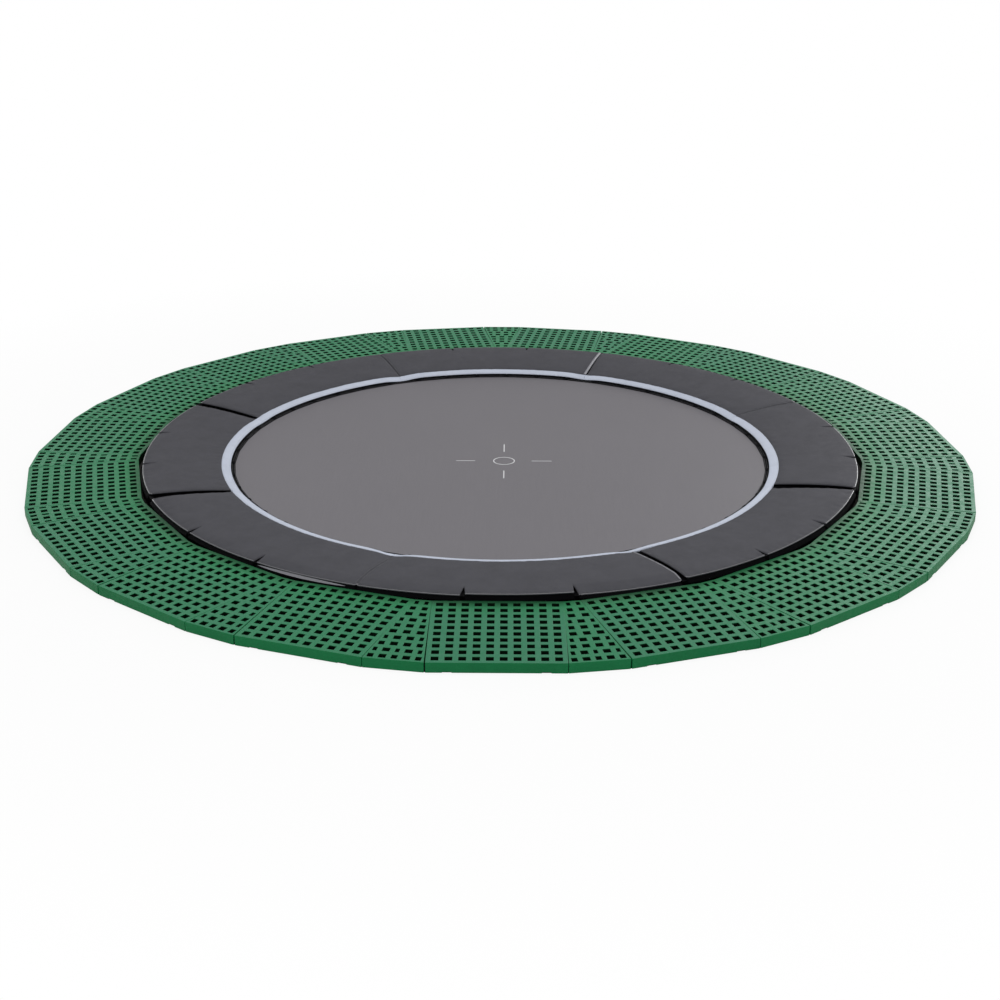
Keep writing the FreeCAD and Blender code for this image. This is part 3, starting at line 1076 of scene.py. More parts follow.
def pad_mesh(number, sizes, swelling):
    """One padded segment as a closed mesh, and the grid of points of its upper side."""
    top, low, step, radii, span = pad_grid_points(number, sizes, swelling)
    band_edge, slit_end = pad_lines(sizes)
    columns, rows = step.shape
    count = columns * rows
    border = tuple(np.transpose(border_of(columns, rows)))
    c, r = border
    levels = [(1 - t) * top[border] + t * low[border] for t in np.linspace(0, 1, side_rows + 2)[1:-1]]
    points = np.concatenate([top.reshape(-1, 3), low.reshape(-1, 3), *levels])
    rim = np.arange(count).reshape(columns, rows)[border]
    between = 2 * count + np.arange(side_rows * len(rim)).reshape(side_rows, len(rim))
    faces = grid_faces(columns, rows) + grid_faces(columns, rows, start=count)
    faces += quads_between([rim, *between, rim + count])

    in_slit = slit_columns(step)
    beside_slit = (in_slit[:-1] | in_slit[1:])[:, None] & (radii[:-1] >= slit_end)
    covers = np.where(beside_slit, side_finish, top_finish)
    covers[:, radii[:-1] < band_edge - same_place] = band_finish
    at_start, at_end = (place in highlight_ends for place in pad_ends(number))
    # Painted highlight: the end faces of the taped ends are pale grey, as light caught on them.
    is_highlight_end = (c == np.roll(c, -1)) & np.where(c > 0, at_end, at_start)
    sides = np.where(is_highlight_end, highlight_finish, side_finish)
    sides[radii[np.minimum(r, np.roll(r, -1))] < band_edge - same_place] = band_finish
    mesh = face_out(new_mesh(f"pad_cover_{number}", points, faces))
    mesh.polygons.foreach_set("material_index", np.concatenate([
        covers.ravel(), np.full(covers.size, side_finish), np.tile(sides, side_rows + 1)]).astype(np.int32))

    flat = np.stack([span, np.tile(radii, (columns, 1))], -1)
    outwards = np.stack([1.0 * (c == columns - 1) - (c == 0), 1.0 * (r == rows - 1) - (r == 0)], -1)
    flat_sides = [flat[border] + outwards * side_spread * level for level in range(1, side_rows + 1)]
    with_uv(mesh, np.concatenate([flat.reshape(-1, 2), flat.reshape(-1, 2) + underside_shift, *flat_sides]))
    return smooth(mesh), top, step, radii


def pieces_of(points, gaps):
    """Stretches of a line of points, cut where a point is left out."""
    stretches, stretch = [], []
    for point, left_out in zip(points, gaps):
        if left_out:
            stretches.append(stretch)
            stretch = []
        else:
            stretch.append(point)
    stretches.append(stretch)
    return [np.array(stretch) for stretch in stretches if len(stretch) > 1]


def path_mesh(lines, closed=False):
    """A mesh of edges along lines of points."""
    points, edges = [], []
    for line in lines:
        first = len(points)
        points += list(line)
        edges += [(i, i + 1) for i in range(first, len(points) - 1)]
        if closed:
            edges.append((len(points) - 1, first))
    return new_mesh("path", points, [], edges)


def stitch_tree():
    """Short bars of thread, evenly spaced along paths."""
    tree, given = geometry_tree("stitches", (
        ("Pitch", "NodeSocketFloat", 0.007), ("Length", "NodeSocketFloat", 0.005),
        ("Thickness", "NodeSocketFloat", 0.0009), ("Material", "NodeSocketMaterial", None)))
    path = add_node(tree, "GeometryNodeMeshToCurve", {"Mesh": given["Geometry"]})
    spaced = add_node(tree, "GeometryNodeResampleCurve", {
        "Curve": path.outputs[0], "Length": given["Pitch"]}, mode="LENGTH")
    size = add_node(tree, "ShaderNodeCombineXYZ", {
        "X": given["Length"], "Y": given["Thickness"], "Z": given["Thickness"]})
    bar = add_node(tree, "GeometryNodeMeshCube", {"Size": size.outputs[0]})
    along = add_node(tree, "GeometryNodeInputTangent").outputs[0]
    turn = add_node(tree, "FunctionNodeAlignRotationToVector", {"Vector": along}, axis="X")
    bars = add_node(tree, "GeometryNodeInstanceOnPoints", {
        "Points": spaced.outputs[0], "Instance": bar.outputs[0], "Rotation": turn.outputs[0]})
    close_tree(tree, bars.outputs[0], given["Material"])
    return tree


def tube_tree():
    """A round tube with closed ends along each path."""
    tree, given = geometry_tree("tube", (
        ("Thickness", "NodeSocketFloat", 0.004), ("Sides", "NodeSocketInt", 6),
        ("Material", "NodeSocketMaterial", None)))
    path = add_node(tree, "GeometryNodeMeshToCurve", {"Mesh": given["Geometry"]})
    radius = calc(tree, "MULTIPLY", given["Thickness"], 0.5)
    circle = add_node(tree, "GeometryNodeCurvePrimitiveCircle", {
        "Resolution": given["Sides"], "Radius": radius})
    tube = add_node(tree, "GeometryNodeCurveToMesh", {
        "Curve": path.outputs[0], "Profile Curve": circle.outputs[0], "Fill Caps": True})
    close_tree(tree, tube.outputs[0], given["Material"])
    return tree


def around_tree():
    """Copies of a piece, evenly spaced about the ring's axis."""
    tree, given = geometry_tree("around", (
        ("Count", "NodeSocketInt", 48), ("First", "NodeSocketFloat", 0.0),
        ("Material", "NodeSocketMaterial", None)))
    points = add_node(tree, "GeometryNodePoints", {"Count": given["Count"]})
    number = add_node(tree, "GeometryNodeInputIndex").outputs[0]
    apart = calc(tree, "DIVIDE", 2 * math.pi, given["Count"])
    angle = calc(tree, "ADD", calc(tree, "MULTIPLY", number, apart), given["First"])
    euler = add_node(tree, "ShaderNodeCombineXYZ", {"Z": angle})
    turn = add_node(tree, "FunctionNodeEulerToRotation", {0: euler.outputs[0]})
    copies = add_node(tree, "GeometryNodeInstanceOnPoints", {
        "Points": points.outputs[0], "Instance": given["Geometry"], "Rotation": turn.outputs[0]})
    close_tree(tree, copies.outputs[0], given["Material"])
    return tree


def sewn(name, lines, tree, thread, sizes, closed=False):
    """A mesh of stitches along lines of points."""
    mesh = grown(path_mesh(lines, closed), tree, {
        "Pitch": sizes.stitch_length * 1.5, "Length": sizes.stitch_length, "Material": thread})
    mesh.name = name
    return mesh


def piped(name, lines, tree, material, thickness, sides=8, closed=False):
    """A mesh of round tube along lines of points."""
    mesh = grown(path_mesh(lines, closed), tree, {
        "Thickness": thickness, "Sides": sides, "Material": material})
    mesh.name = name
    return smooth(mesh, 60)


def pad_seams(top, step, radii, band_edge):
    """The lines of stitches on a pad's band and on its cover, of its outer piping and of its two ends."""
    def row_at(radius):
        return int(np.argmin(np.abs(radii - radius)))

    raised = top + np.array([0, 0, thread_lift])
    first_row = row_at(band_edge + seam_steps[-1])
    edge_row = row_at(pad_edge[0] - edge_steps[0])
    in_slit = slit_columns(step)
    near_slit = np.isin(np.abs(step[:, 0]), (1, 2)) | in_slit
    band = [raised[:, row_at(band_edge + seam_steps[0])],
            raised[:, row_at(pad_lip[0] + lip_inset + lip_steps[-1])]]
    cover = pieces_of(raised[:, edge_row], near_slit)
    cover += [raised[column, first_row:edge_row] for column in (3, -4)]
    rim = top * np.array([piping_inset, piping_inset, 1.0]) + np.array([0, 0, edge_round * piping_rise])
    return band, cover, pieces_of(rim[:, -1], in_slit), [rim[column, first_row:] for column in (0, -1)]


def ribbon_mesh(name, upper, lower, flat):
    """A closed sheet between two grids of points that lie a cloth's thickness apart."""
    columns, rows = upper.shape[:2]
    count = columns * rows
    rim = np.arange(count).reshape(columns, rows)[tuple(np.transpose(border_of(columns, rows)))]
    faces = grid_faces(columns, rows) + grid_faces(columns, rows, count) + quads_between([rim, rim + count])
    mesh = face_out(new_mesh(name, np.concatenate([upper.reshape(-1, 3), lower.reshape(-1, 3)]), faces))
    return smooth(with_uv(mesh, np.concatenate([flat, flat]).reshape(-1, 2)))


def flap_mesh(name, middle, gap, reach, flat_radii, first_raised, rim):
    """A black flap behind a gap in the padding, which ends on the ground inside the hem; it also stands in
    for the shade in the gap.
    """
    radii = np.append(flat_radii, [pad_hem[0] - flap_inset] * 3)
    low = np.append(pad_bottom(flat_radii) - flap_drop, [pad_hem[1] - 0.001, flap_knee, skirt_foot])
    before, after = gap
    arcs = np.concatenate([np.linspace(-reach, before - 0.001, 7), np.linspace(before, after, 5),
                           np.linspace(after + 0.001, reach, 7)])
    arc, radius = np.meshgrid(arcs, radii, indexing="ij")
    in_gap = share_between(arc, before - 0.001, before) * share_between(-arc, -after - 0.001, -after)
    row = np.arange(len(radii))
    is_raised = (row >= first_raised) & (row <= len(flat_radii))
    height = low + (rim - low) * is_raised * in_gap
    bearing = middle + np.degrees(arc / radius)
    upper = on_ring(radius, bearing, height)
    lower = on_ring(radius - cover_thickness, bearing, height - cover_thickness / 2)
    return ribbon_mesh(name, upper, lower, np.stack([arc, radius + height], -1))


def flap_meshes(number, sizes):
    """The flaps behind the joint before a pad and behind its slits."""
    middle = bearing_of(f"pad_{number}")
    band_edge, slit_end = pad_lines(sizes)
    half = sizes.slit_width / 2
    ends = [float(end_place(number - 1, side, pad_edge[0], band_edge)) for side in (0, 1)]
    last = pad_edge[0] - flap_end
    joint_radii = np.array([band_edge, *rail_side_radii, pad_seat[0], pad_seat_end[0], last])
    slit_radii = np.array([slit_end - flap_end, slit_end + 0.012, last])
    places = [(f"joint_flap_{number}", middle - pad_turn / 2, ends, flap_reach, joint_radii, 5)]
    for slit, bearing in enumerate(odd_slits.get(number, slit_bearings), 1):
        name = f"slit_flap_{number}_{slit}"
        places.append((name, middle + bearing, (-half, half), 2.5 * half, slit_radii, 1))
    first = 3 * (number - 1)
    drops = [max(flap_drops[first + i - 1], flap_drops[first + i]) for i in range(3)]
    return [flap_mesh(*place, pad_edge[1] - flap_below - drop) for place, drop in zip(places, drops)]


def skirt_mesh(number, band_edge):
    """A black hem that hangs from a pad's outer side to the ground, behind its slits, and also stands in for
    the shade between the padding and the tiles.
    """
    shares = np.linspace(-1, 1, skirt_grid[0])
    levels = np.linspace(pad_hem[1] + 0.002, skirt_foot, skirt_grid[1])
    share, level = np.meshgrid(shares, levels, indexing="ij")
    bearing = pad_bearings(number, share, pad_hem[0], band_edge)
    wave = np.sin(share * 21 + number * 5.1) * skirt_wave * share_between(level, levels[0], levels[-1])
    radius = pad_hem[0] - skirt_gap + wave
    upper, lower = on_ring(radius, bearing, level), on_ring(radius - cover_thickness, bearing, level)
    flat = np.stack([np.radians(bearing) * radius, level], -1)
    return ribbon_mesh(f"pad_skirt_{number}", upper, lower, flat)


def turned_hem_mesh(number):
    """The pale inner side of the hem that is turned out below one flap of a pad."""
    start, end = turned_hem[number]
    share, side = np.meshgrid(np.linspace(0, 1, hem_grid[0]), hem_grid[1], indexing="ij")
    bearing = bearing_of(f"pad_{number}") + start + share * (end - start)
    reach = side * (0.04 + np.sin(np.pi * share) ** 0.6)
    radius = pad_edge[0] + turned_hem_middle[0] + reach * turned_hem_reach[0]
    height = pad_edge[1] + turned_hem_middle[1] + reach * turned_hem_reach[1]
    upper = on_ring(radius, bearing, height)
    lower = on_ring(radius - hem_thickness, bearing, height - hem_thickness)
    flat = np.stack([np.radians(bearing) * radius, reach * 0.01], -1)
    return ribbon_mesh("turned_hem", upper, lower, flat)


class TRAMPOLINE_OT_padding(bpy.types.Operator):
    """Make the padded segments with their bands, piping, seams and skirts"""

    bl_idname = "trampoline.padding"
    bl_label = "Padding"

    def execute(self, context):
        sizes, colours = context.scene.trampoline_sizes, context.scene.trampoline_colours
        cover = coated_fabric("pad_cover_fabric", tuple(colours.pad), 0.52, 0.008)
        side = coated_fabric("pad_side_fabric", tuple(colours.pad_side), 0.50, 0.015)
        band = pale_fabric(colours)
        # The piping's colour is the cover's made lighter, a painted highlight along the rim; it is also
        # glossier.
        cord = coated_fabric("pad_piping_fabric", shaded(colours.pad, 1.3), 0.32, 0.60)
        pale_grey = coated_fabric("pad_binding_fabric", tuple(colours.pale_grey), 0.40, 0.10)
        thread = sewing_thread("dark_thread", shaded(colours.pad, 0.7))
        pale_thread = sewing_thread("pale_thread", shaded(colours.band, 0.85))
        stitches, tube = stitch_tree(), tube_tree()
        band_edge = pad_lines(sizes)[0]
        for number, node in enumerate(pad_nodes, 1):
            swelling = cover_under_pressure(number, band_edge)
            mesh, top, step, radii = pad_mesh(number, sizes, swelling)
            segment = finished(mesh, "frame", [cover, band, side, pale_grey], [node])
            band_seams, seams, piping, ends = pad_seams(top, step, radii, band_edge)
            piping_mesh = piped(f"pad_piping_{number}", piping, tube, cord, sizes.piping_width * 1.4)
            parts = [
                (sewn(f"band_stitches_{number}", band_seams, stitches, pale_thread, sizes), pale_thread),
                (sewn(f"pad_stitches_{number}", seams, stitches, thread, sizes), thread),
                (piping_mesh, cord), (skirt_mesh(number, band_edge), side)]
            parts += [(flap, side) for flap in flap_meshes(number, sizes)]
            cut = []
            for end, joint in zip(ends, pad_ends(number)):
                # Painted highlight: two ends get a pale grey tape where the light catches them; the other cut
                # ends get piping of the cover.
                if joint in highlight_ends:
                    tape = piped(f"pad_binding_{number}", [end], tube, pale_grey, highlight_ends[joint], 10)
                    parts.append((tape, pale_grey))
                else:
                    cut.append(end)
            parts.append((piped(f"pad_end_piping_{number}", cut, tube, cover, sizes.piping_width), cover))
            if number in turned_hem:
                parts.append((turned_hem_mesh(number), pale_grey))
            for part, material in parts:
                finished(part, "frame", [material])
        return {"FINISHED"}


# Jumping mat.

mat_rings = 44
facet_steps = 4
mat_sag = 0.012
ripple_height = 0.0006
ripple_count = 7
# The printed cross: the bearing of each bar, and its inner and outer end from the mark's centre.
mark_centre = (0.018, -0.050)
mark_bars = ((0, 0.120, 0.207), (180, 0.126, 0.208), (90, 0.115, 0.212), (270, 0.121, 0.212))
mark_ring = 0.045
mark_line = 0.0042
print_levels = (0.0001, 0.0004)
# The webbing's rounded edge: distances in from its edge, and shares of its thickness.
webbing_thickness = webbing_high - webbing_low
webbing_edge = ((0.0, 0.6), (0.0008, 0.94), (0.003, 1.0))
webbing_crown = 1.03
seam_places = (0.004, 0.012, 0.022, 0.030)
# The triangular rings: heights over the webbing, and distances out from the mat's corners.
ring_clearance = 0.0020
ring_half_width = 0.013
ring_base, ring_apex, ring_middle = -0.019, 0.0030, -0.0115
ring_bend = 0.16
ring_corner = 0.94
# A tab's fold over its ring: distances out from the mat's corners, and heights over the webbing.
tab_fold = ((-0.034, 0.0008), (-0.026, 0.0009), (-0.0225, 0.0030), (-0.019, 0.0045),
            (-0.0160, 0.0030), (-0.0158, 0.0010))
tab_width = 0.022


def rim_bearings(steps=1):
    """Bearings of the springs, and of so many steps from each to the next."""
    return first_spring_bearing + np.arange(spring_count * steps) * spring_step / steps


def facet_share(bearing):
    """How far in the mat's straight edge lies at a bearing, as a share of its corner radius."""
    aside = (bearing - first_spring_bearing) % spring_step - spring_step / 2
    return math.cos(math.radians(spring_step / 2)) / np.cos(np.radians(aside))


def mat_height(radius, bearing):
    """Height of the sagging mat's underside at rest."""
    share = radius / mat_corner
    sag = mat_sag * np.maximum(1 - share ** 2, 0) ** 0.6
    ripple = ripple_height * np.sin(np.radians(bearing) * ripple_count) * share * (1 - share)
    return mat_low - sag + ripple


def mat_mesh():
    """The woven mat, closed, with a corner at each spring."""
    shares = np.linspace(0, 1, mat_rings + 1)[1:]
    bearing, share = np.meshgrid(rim_bearings(facet_steps), shares, indexing="ij")
    radius = mat_corner * share * (1 + (facet_share(bearing) - 1) * share ** 6)
    low = on_ring(radius, bearing, mat_height(radius, bearing)).reshape(-1, 3)
    thick = np.array([0, 0, mat_high - mat_low])
    centre = np.array([[0, 0, float(mat_height(0.0, 0.0))]])
    points = np.concatenate([low, low + thick, centre, centre + thick])
    rings = np.arange(radius.size).reshape(radius.shape).T
    faces = quads_between([rings[-1], rings[-1] + radius.size])
    for start, middle in ((0, len(points) - 2), (radius.size, len(points) - 1)):
        faces += quads_between(rings + start)
        faces += [(*pair, middle) for pair in zip(rings[0] + start, np.roll(rings[0], -1) + start)]
    return smooth(face_out(new_mesh("woven_mat", points, faces)))


def printed_strip(left, right, closed):
    """Points and faces of a thin print on the mat between two lines of (x, y) points."""
    lines = np.stack([left, right])
    radius = np.hypot(lines[..., 0], lines[..., 1])
    bearing = np.degrees(np.arctan2(lines[..., 1], lines[..., 0]))
    surface = mat_height(radius, bearing) + mat_high - mat_low
    points = np.concatenate([np.dstack([lines, surface + lift]).reshape(-1, 3) for lift in print_levels])
    return points, bar_faces(np.arange(len(points)).reshape(4, -1)[[0, 1, 3, 2]], closed)


def bar_outline(start, end):
    """Two lines of points along the sides of a thin printed bar."""
    start, end = np.array(start), np.array(end)
    along = (end - start) / np.linalg.norm(end - start)
    aside = np.array([-along[1], along[0]]) * mark_line / 2
    line = start + np.linspace(0, 1, 12)[:, None] * (end - start)
    return line + aside, line - aside


def mark_mesh():
    """A cross of four thin bars round a small ring, printed on the mat."""
    centre = np.array(mark_centre)
    parts = []
    for bearing, inner, outer in mark_bars:
        way = np.array([math.cos(math.radians(bearing)), math.sin(math.radians(bearing))])
        parts.append((*bar_outline(centre + way * inner, centre + way * outer), False))
    turns = np.radians(np.arange(0, 360, 5))
    circle = np.stack([np.cos(turns), np.sin(turns)], -1)
    reach = mark_line / 2
    parts.append((centre + circle * (mark_ring - reach), centre + circle * (mark_ring + reach), True))
    points, faces = [], []
    for part in parts:
        more_points, more_faces = printed_strip(*part)
        faces += [tuple(len(points) + i for i in face) for face in more_faces]
        points += list(more_points)
    return face_out(new_mesh("centre_mark", points, faces))


def webbing_point(inwards, bearing, height):
    """Points on the mat's rim at distances in from its edge and heights over the mat."""
    radius = mat_corner - inwards
    level = height + mat_height(radius, bearing) + mat_high - mat_low
    return on_ring(radius * facet_share(bearing), bearing, level)


def webbing_mesh():
    """The strap sewn on the mat's rim, with rounded edges."""
    width = webbing_corner - webbing_inner
    side = [(0.0, 0.0), *webbing_edge, (width / 2, webbing_crown)]
    side += [(width - inwards, share) for inwards, share in reversed(webbing_edge)] + [(width, 0.0)]
    points, flat = [], []
    for bearing in rim_bearings(facet_steps):
        for inwards, share in side:
            points.append(webbing_point(inwards, bearing, share * webbing_thickness))
            flat.append((math.radians(bearing) * mat_corner, inwards + share * webbing_thickness))
    faces = bar_faces(np.arange(len(points)).reshape(-1, len(side)).T, closed=True)
    return smooth(with_uv(face_out(new_mesh("rim_webbing", points, faces)), np.array(flat)))


def strip_mesh(name, line, width, thickness, closed=False):
    """A flat strap of a width along y, which follows a line of (x, z) points."""
    line = np.array(line)
    ahead = np.roll(line, -1, 0) - np.roll(line, 1, 0)
    if not closed:
        ahead[0], ahead[-1] = line[1] - line[0], line[-1] - line[-2]
    out = np.stack([-ahead[:, 1], ahead[:, 0]], -1) / np.linalg.norm(ahead, axis=1)[:, None]
    points, flat = [], []
    run = np.concatenate([[0], np.cumsum(np.linalg.norm(np.diff(line, axis=0), axis=1))])
    for offset, y in ((-0.5, -0.5), (-0.5, 0.5), (0.5, 0.5), (0.5, -0.5)):
        for i, (x, z) in enumerate(line + out * offset * thickness):
            points.append((x, y * width, z))
            flat.append((run[i], y * width))
    faces = bar_faces(np.arange(len(points)).reshape(4, -1), closed)
    return with_uv(face_out(new_mesh(name, points, faces)), np.array(flat))


def around(name, mesh, tree, count, first, material):
    """A mesh of copies of a mesh that was made along +X."""
    copies = grown(mesh, tree, {"Count": count, "First": math.radians(first), "Material": material})
    copies.name = name
    return smooth(copies)


def ring_path():
    """Centre line of the triangular ring at one corner of the mat, which holds a spring's hook."""
    base = mat_corner + ring_base
    corners = np.array([(base, -ring_half_width), (base, ring_half_width), (mat_corner + ring_apex, 0.0)])
    middle = np.array([mat_corner + ring_middle, 0.0])
    points = []
    for corner, before, after in zip(corners, np.roll(corners, 1, 0), np.roll(corners, -1, 0)):
        points += [corner + (before - corner) * ring_bend, middle + (corner - middle) * ring_corner,
                   corner + (after - corner) * ring_bend]
    return [(x, y, mat_high + webbing_thickness + ring_clearance) for x, y in points]


class TRAMPOLINE_OT_jumping_mat(bpy.types.Operator):
    """Make the woven mat, its printed mark, its rim webbing, its rings and their tabs"""

    bl_idname = "trampoline.jumping_mat"
    bl_label = "Jumping mat"

    def execute(self, context):
        sizes, colours = context.scene.trampoline_sizes, context.scene.trampoline_colours
        weave_finish = mat_weave(colours, sizes.mat_thread)
        strap = strap_webbing("rim_strap", tuple(colours.webbing))
        thread = sewing_thread("rim_thread", (0.03, 0.03, 0.034))
        # Painted shade: the rings are near-black, as they lie in shade under the padding's lip.
        ring_steel = zinc_steel("ring_steel", (0.020, 0.020, 0.022), 0.45, dull=0.0)
        stitches, tube, copies = stitch_tree(), tube_tree(), around_tree()
        mat_piece = finished(mat_mesh(), "mat", [weave_finish], ["jumping_mat"])
        mark = finished(mark_mesh(), "mat", [printed_ink(colours)])
        rim = finished(webbing_mesh(), "mat", [strap], ["mat_webbing"])
        lines = [webbing_point(inwards, rim_bearings(facet_steps), webbing_thickness + thread_lift)
                 for inwards in seam_places]
        seams = finished(sewn("rim_stitches", lines, stitches, thread, sizes, closed=True),
                         "mat", [thread])
        ring = piped("ring", [ring_path()], tube, ring_steel, sizes.ring_wire, closed=True)
        rings = around("spring_rings", ring, copies, spring_count, first_spring_bearing, ring_steel)
        fold = [(mat_corner + x, mat_high + webbing_thickness + z) for x, z in tab_fold]
        tab = strip_mesh("tab", fold, tab_width, cover_thickness)
        tabs = around("ring_tabs", tab, copies, spring_count, first_spring_bearing, strap)
        rings = finished(rings, "mat", [ring_steel])
        tabs = finished(tabs, "mat", [strap])
        return {"FINISHED"}


# Springs and frame.

hook_radius = 0.0048
hook_arc = (70, 300, 12)
hook_seat = 0.0012
hook_shank = 0.030
# Where the wire runs from the hook to the coil: shares of the shank and of the hook's radius.
shank_bends = ((0.6, -0.5), (0.85, -0.55))
coil_steps = 8
coil_start = 0.45
taper_turns = 2.5
eye_reach = 0.008
eye_radius = 0.006
spring_rail_height = rail_low + (rail_high - rail_low) / 2
eye_arc = (270, 90, 9)
eye_foot = 0.001
strap_width = 0.025
strap_gap = 0.0009
strap_bend = 0.002


def arc_points(radius, start, end, count):
    """Two coordinates of the points of an arc, from one angle in degrees to another."""
    turns = np.radians(np.linspace(start, end, count))
    return [(radius * math.cos(turn), radius * math.sin(turn)) for turn in turns]


def spring_path(sizes):
    """Centre line of a spring's wire along +X, from its hook at the mat to its hook at the rail."""
    mat_end = np.array([mat_corner + hook_seat, 0.0, mat_high + webbing_thickness + ring_clearance])
    rail_end = np.array([rail_inner - eye_reach + hook_seat, 0.0, spring_rail_height])
    length = float(np.linalg.norm(rail_end - mat_end))
    rise = math.asin((rail_end[2] - mat_end[2]) / length)
    coil = sizes.spring_outside / 2 - sizes.spring_wire / 2
    hook = [(x + hook_radius - sizes.spring_wire, 0.0, z) for x, z in arc_points(hook_radius, *hook_arc)]
    hook += [(hook_shank * along, 0.0, hook_radius * up) for along, up in shank_bends]
    points = list(hook)
    turns = round((length - 2 * hook_shank) / sizes.spring_pitch)
    for i in range(turns * coil_steps + 1):
        share = i / (turns * coil_steps)
        taper = min(1.0, coil_start + min(share, 1 - share) * turns / taper_turns)
        angle = 2 * math.pi * i / coil_steps - math.pi / 2
        along = hook_shank + share * (length - 2 * hook_shank)
        points.append((along, coil * taper * math.cos(angle), coil * taper * math.sin(angle)))
    points += [(length - x, -y, z) for x, y, z in reversed(hook)]
    tilt = Matrix.Rotation(-rise, 3, "Y")
    return [Vector(mat_end) + tilt @ Vector(point) for point in points]


def eye_path():
    """Centre line of the wire eye on the rail that holds a spring's hook."""
    centre, foot = rail_inner - eye_reach + eye_radius, rail_inner + eye_foot
    bow = [(centre + x, y) for x, y in arc_points(eye_radius, *eye_arc)]
    return [(x, y, spring_rail_height) for x, y in [(foot, -eye_radius), *bow, (foot, eye_radius)]]


def strap_loop():
    """Line of a strap round the rail, through the space under it."""
    low, high = rail_low - strap_gap, rail_high + strap_gap
    inner, outer = rail_inner - strap_gap, rail_outer + strap_gap
    return [(inner + strap_bend, low), (outer - strap_bend, low), (outer, low + strap_bend),
            (outer, high - strap_bend), (outer - strap_bend, high), (inner + strap_bend, high),
            (inner, high - strap_bend), (inner, low + strap_bend)]


class TRAMPOLINE_OT_springs(bpy.types.Operator):
    """Make the coil springs, hooked to the mat's rings and the rails' eyes"""

    bl_idname = "trampoline.springs"
    bl_label = "Springs"

    def execute(self, context):
        sizes = context.scene.trampoline_sizes
        steel = zinc_steel("spring_zinc", (0.66, 0.67, 0.68), 0.30)
        tube, copies = tube_tree(), around_tree()
        one = piped("spring", [spring_path(sizes)], tube, steel, sizes.spring_wire, 5)
        for number, bearing in enumerate(rim_bearings(), 1):
            spring = finished(moved(one, bearing, f"coil_spring_{number:02d}"), None, [steel],
                              ["springs"] if number == 1 else [])
            ends = [tuple(on_ring(radius, bearing, spring_rail_height).tolist())
                    for radius in (rail_inner - hook_shank, mat_corner + hook_radius)]
            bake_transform(spring)
        eye = piped("eye", [eye_path()], tube, steel, sizes.ring_wire)
        eyes = around("spring_eyes", eye, copies, spring_count, first_spring_bearing, steel)
        finished(eyes, "frame", [steel])
        return {"FINISHED"}


class TRAMPOLINE_OT_frame(bpy.types.Operator):
    """Finish the rails, feet and bolts, and make the straps that hold the padding"""

    bl_idname = "trampoline.frame"
    bl_label = "Frame"

    def execute(self, context):
        colours = context.scene.trampoline_colours
        rail_zinc = zinc_steel("rail_zinc", (0.58, 0.59, 0.60), 0.40, 70.0)
        bolt_zinc = zinc_steel("bolt_zinc", (0.70, 0.69, 0.64), 0.30, 140.0)
        for node in [*rail_nodes, "frame_feet"]:
            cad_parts[node].material_slots[0].material = rail_zinc
        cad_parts["frame_bolts"].material_slots[0].material = bolt_zinc
        strap = strap_webbing("pad_strap", tuple(colours.pad_side))
        loop = strip_mesh("strap", strap_loop(), strap_width, cover_thickness, closed=True)
        count = 2 * len(pad_nodes)
        first = bearing_of("pad_1") + 180 / count
        finished(around("pad_straps", loop, around_tree(), count, first, strap),
                 "frame", [strap])
        return {"FINISHED"}


# Stage.

camera_place = (0.0380, -6.3636, 2.3375)
camera_pitch = 70.118
camera_turn = 0.596
camera_roll = 0.115
camera_lens = 55.77
camera_shift = (0.0065, -0.0513)
pit_radius = 1.440
pit_depth = 0.60
floor_radius = 60.0
# Painted shade: the earth under the tiles and in the pit is near-black, so the gaps that show it read as
# shade.
earth_and_shade_colour = (0.012, 0.011, 0.009)
floor_inset = 0.003
# The floor's share of plain white, and the distances over which it rises to the whole.
floor_fade = (2.2, 3.6)
floor_share = 0.88
sky_strength = 0.62
# Each lamp's name, place, target, width and height, and power in watts.
softboxes = (
    ("key_softbox", (0.4, -1.2, 5.3), (0, 0, 0), (5.0, 5.0), 144.0),
    ("left_softbox", (-5.6, 6.6, 2.4), (-0.8, 0.3, 0), (3.0, 1.8), 50.0),
    ("side_softbox", (4.8, 7.2, 2.4), (0.8, 0.3, 0), (3.0, 1.8), 210.0),
)


def seen_directly(tree):
    """1 for the rays that show a surface to the camera, in a mirror or through glass, 0 for the others."""
    path = add_node(tree, "ShaderNodeLightPath").outputs
    mirrored = calc(tree, "MAXIMUM", path["Is Glossy Ray"], path["Is Transmission Ray"])
    return calc(tree, "MAXIMUM", path["Is Camera Ray"], mirrored)


def show_through(tree, surface, share):
    """Mixes plain white into what the camera and reflections see of a surface."""
    white = add_node(tree, "ShaderNodeEmission", {"Color": (1, 1, 1, 1), "Strength": 1.0})
    mixed = add_node(tree, "ShaderNodeMixShader", {
        0: calc(tree, "MULTIPLY", seen_directly(tree), share), 1: surface.outputs[0], 2: white.outputs[0]})
    output = next(n for n in tree.nodes if n.type == "OUTPUT_MATERIAL")
    tree.links.new(mixed.outputs[0], output.inputs[0])


def ring_outline():
    """Bearings and distances from the axis of the tiles' outer corners, just inside them."""
    low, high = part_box(tile_nodes[0])
    half, reach = (high.x - low.x) / 2, -low.y - floor_inset
    bearings = [bearing_of(node) + side * math.degrees(math.atan2(half, reach))
                for node in tile_nodes for side in (-1, 1)]
    return np.array(bearings), math.hypot(half, reach)


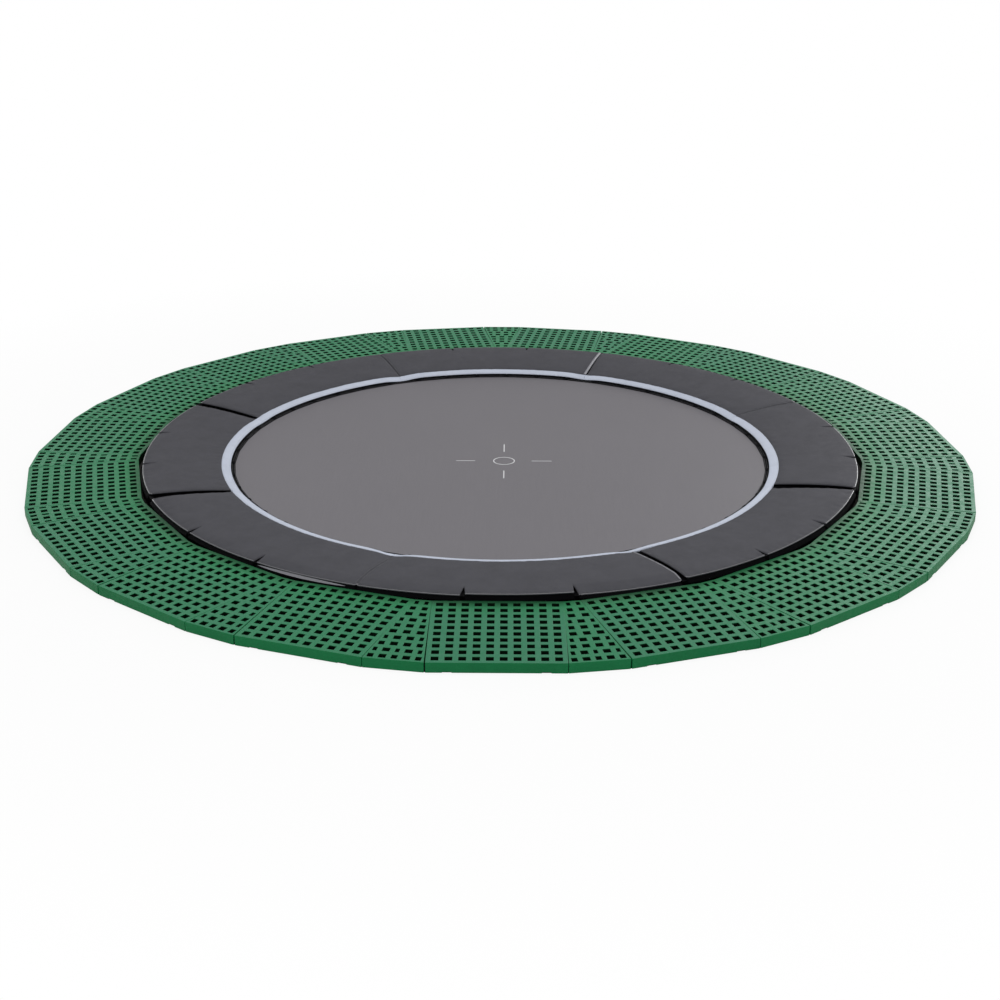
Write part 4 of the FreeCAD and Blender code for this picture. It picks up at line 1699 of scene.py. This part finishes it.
def floor_with_pit():
    """A pale floor up to the tiles, and under them near-black earth and the pit, their darkness painted shade
    for the gaps.
    """
    bearings, corner = ring_outline()
    levels = ((floor_radius, 0.0), (corner, 0.0), (pit_radius, 0.0), (pit_radius, -pit_depth))
    points = np.concatenate([on_ring(radius, bearings, height) for radius, height in levels])
    lines = np.arange(len(points)).reshape(len(levels), -1)
    faces = quads_between(lines) + [tuple(lines[-1])]
    mesh = new_mesh("floor", points, faces)
    mesh.polygons.foreach_set("material_index", [int(i >= len(bearings)) for i in range(len(faces))])
    white, tree, surface = new_material("floor_white", Base_Color=(0.80, 0.80, 0.80, 1.0), Roughness=0.9)
    show_through(tree, surface, spread(tree, from_axis(tree), *floor_fade, floor_share, 1.0))
    mesh.materials.append(white)
    mesh.materials.append(new_material("earth", Base_Color=(*earth_and_shade_colour, 1.0), Roughness=0.95)[0])
    return new_object("floor", mesh)


def studio_sky():
    """A pale world that shows as white and lights with less."""
    world = bpy.data.worlds.new("studio")
    world.use_nodes = True
    tree = world.node_tree
    tree.nodes.clear()
    strength = spread(tree, seen_directly(tree), 0.0, 1.0, sky_strength, 1.0)
    sky = add_node(tree, "ShaderNodeBackground", {"Color": (1, 1, 1, 1), "Strength": strength})
    add_node(tree, "ShaderNodeOutputWorld", {"Surface": sky.outputs[0]})
    return world


def softbox(name, place, target, size, power):
    """A rectangular soft lamp that faces a point."""
    lamp = bpy.data.lights.new(name, "AREA")
    lamp.shape = "RECTANGLE"
    lamp.size, lamp.size_y = size
    lamp.energy = power
    holder = new_object(name, lamp)
    holder.location = place
    holder.rotation_euler = (Vector(target) - Vector(place)).to_track_quat("-Z", "Y").to_euler()
    holder.visible_camera = False


def photo_camera():
    """The camera at the place that was fitted to the photograph."""
    camera = bpy.data.cameras.new("camera")
    camera.lens = camera_lens
    camera.shift_x, camera.shift_y = camera_shift
    camera.clip_end = 200.0
    holder = new_object("camera", camera)
    holder.location = camera_place
    roll = Matrix.Rotation(math.radians(camera_roll), 3, "Z")
    aim = Euler([math.radians(a) for a in (camera_pitch, 0, camera_turn)]).to_matrix() @ roll
    holder.rotation_euler = aim.to_euler()
    return holder


class TRAMPOLINE_OT_stage(bpy.types.Operator):
    """Make the pale floor, the soft studio light and the camera"""

    bl_idname = "trampoline.stage"
    bl_label = "Stage"

    def execute(self, context):
        floor_with_pit()
        context.scene.world = studio_sky()
        for lamp in softboxes:
            softbox(*lamp)
        context.scene.camera = photo_camera()
        context.scene.view_settings.view_transform = "Standard"
        return {"FINISHED"}


operators = (TRAMPOLINE_OT_stage, TRAMPOLINE_OT_frame, TRAMPOLINE_OT_springs, TRAMPOLINE_OT_jumping_mat,
             TRAMPOLINE_OT_padding, TRAMPOLINE_OT_tiles)


class TRAMPOLINE_PT_looks(bpy.types.Panel):
    """Lists the pieces and the sizes and colours that they are made with"""

    bl_idname = "TRAMPOLINE_PT_looks"
    bl_label = "Trampoline"
    bl_space_type = "VIEW_3D"
    bl_region_type = "UI"
    bl_category = "Trampoline"

    def draw(self, context):
        for operator in operators:
            self.layout.operator(operator.bl_idname)
        for group in (context.scene.trampoline_sizes, context.scene.trampoline_colours):
            for name in type(group).__annotations__:
                self.layout.prop(group, name)


classes = (TrampolineSizes, TrampolineColours, *operators, TRAMPOLINE_PT_looks)


def register():
    for item in classes:
        bpy.utils.register_class(item)
    bpy.types.Scene.trampoline_sizes = bpy.props.PointerProperty(type=TrampolineSizes)
    bpy.types.Scene.trampoline_colours = bpy.props.PointerProperty(type=TrampolineColours)


def unregister():
    del bpy.types.Scene.trampoline_sizes
    del bpy.types.Scene.trampoline_colours
    for item in reversed(classes):
        bpy.utils.unregister_class(item)


def main():
    """Makes the stage and every piece."""
    register()
    for operator in operators:
        group, name = operator.bl_idname.split(".")
        getattr(getattr(bpy.ops, group), name)()


if __name__ == "__main__":
    main()
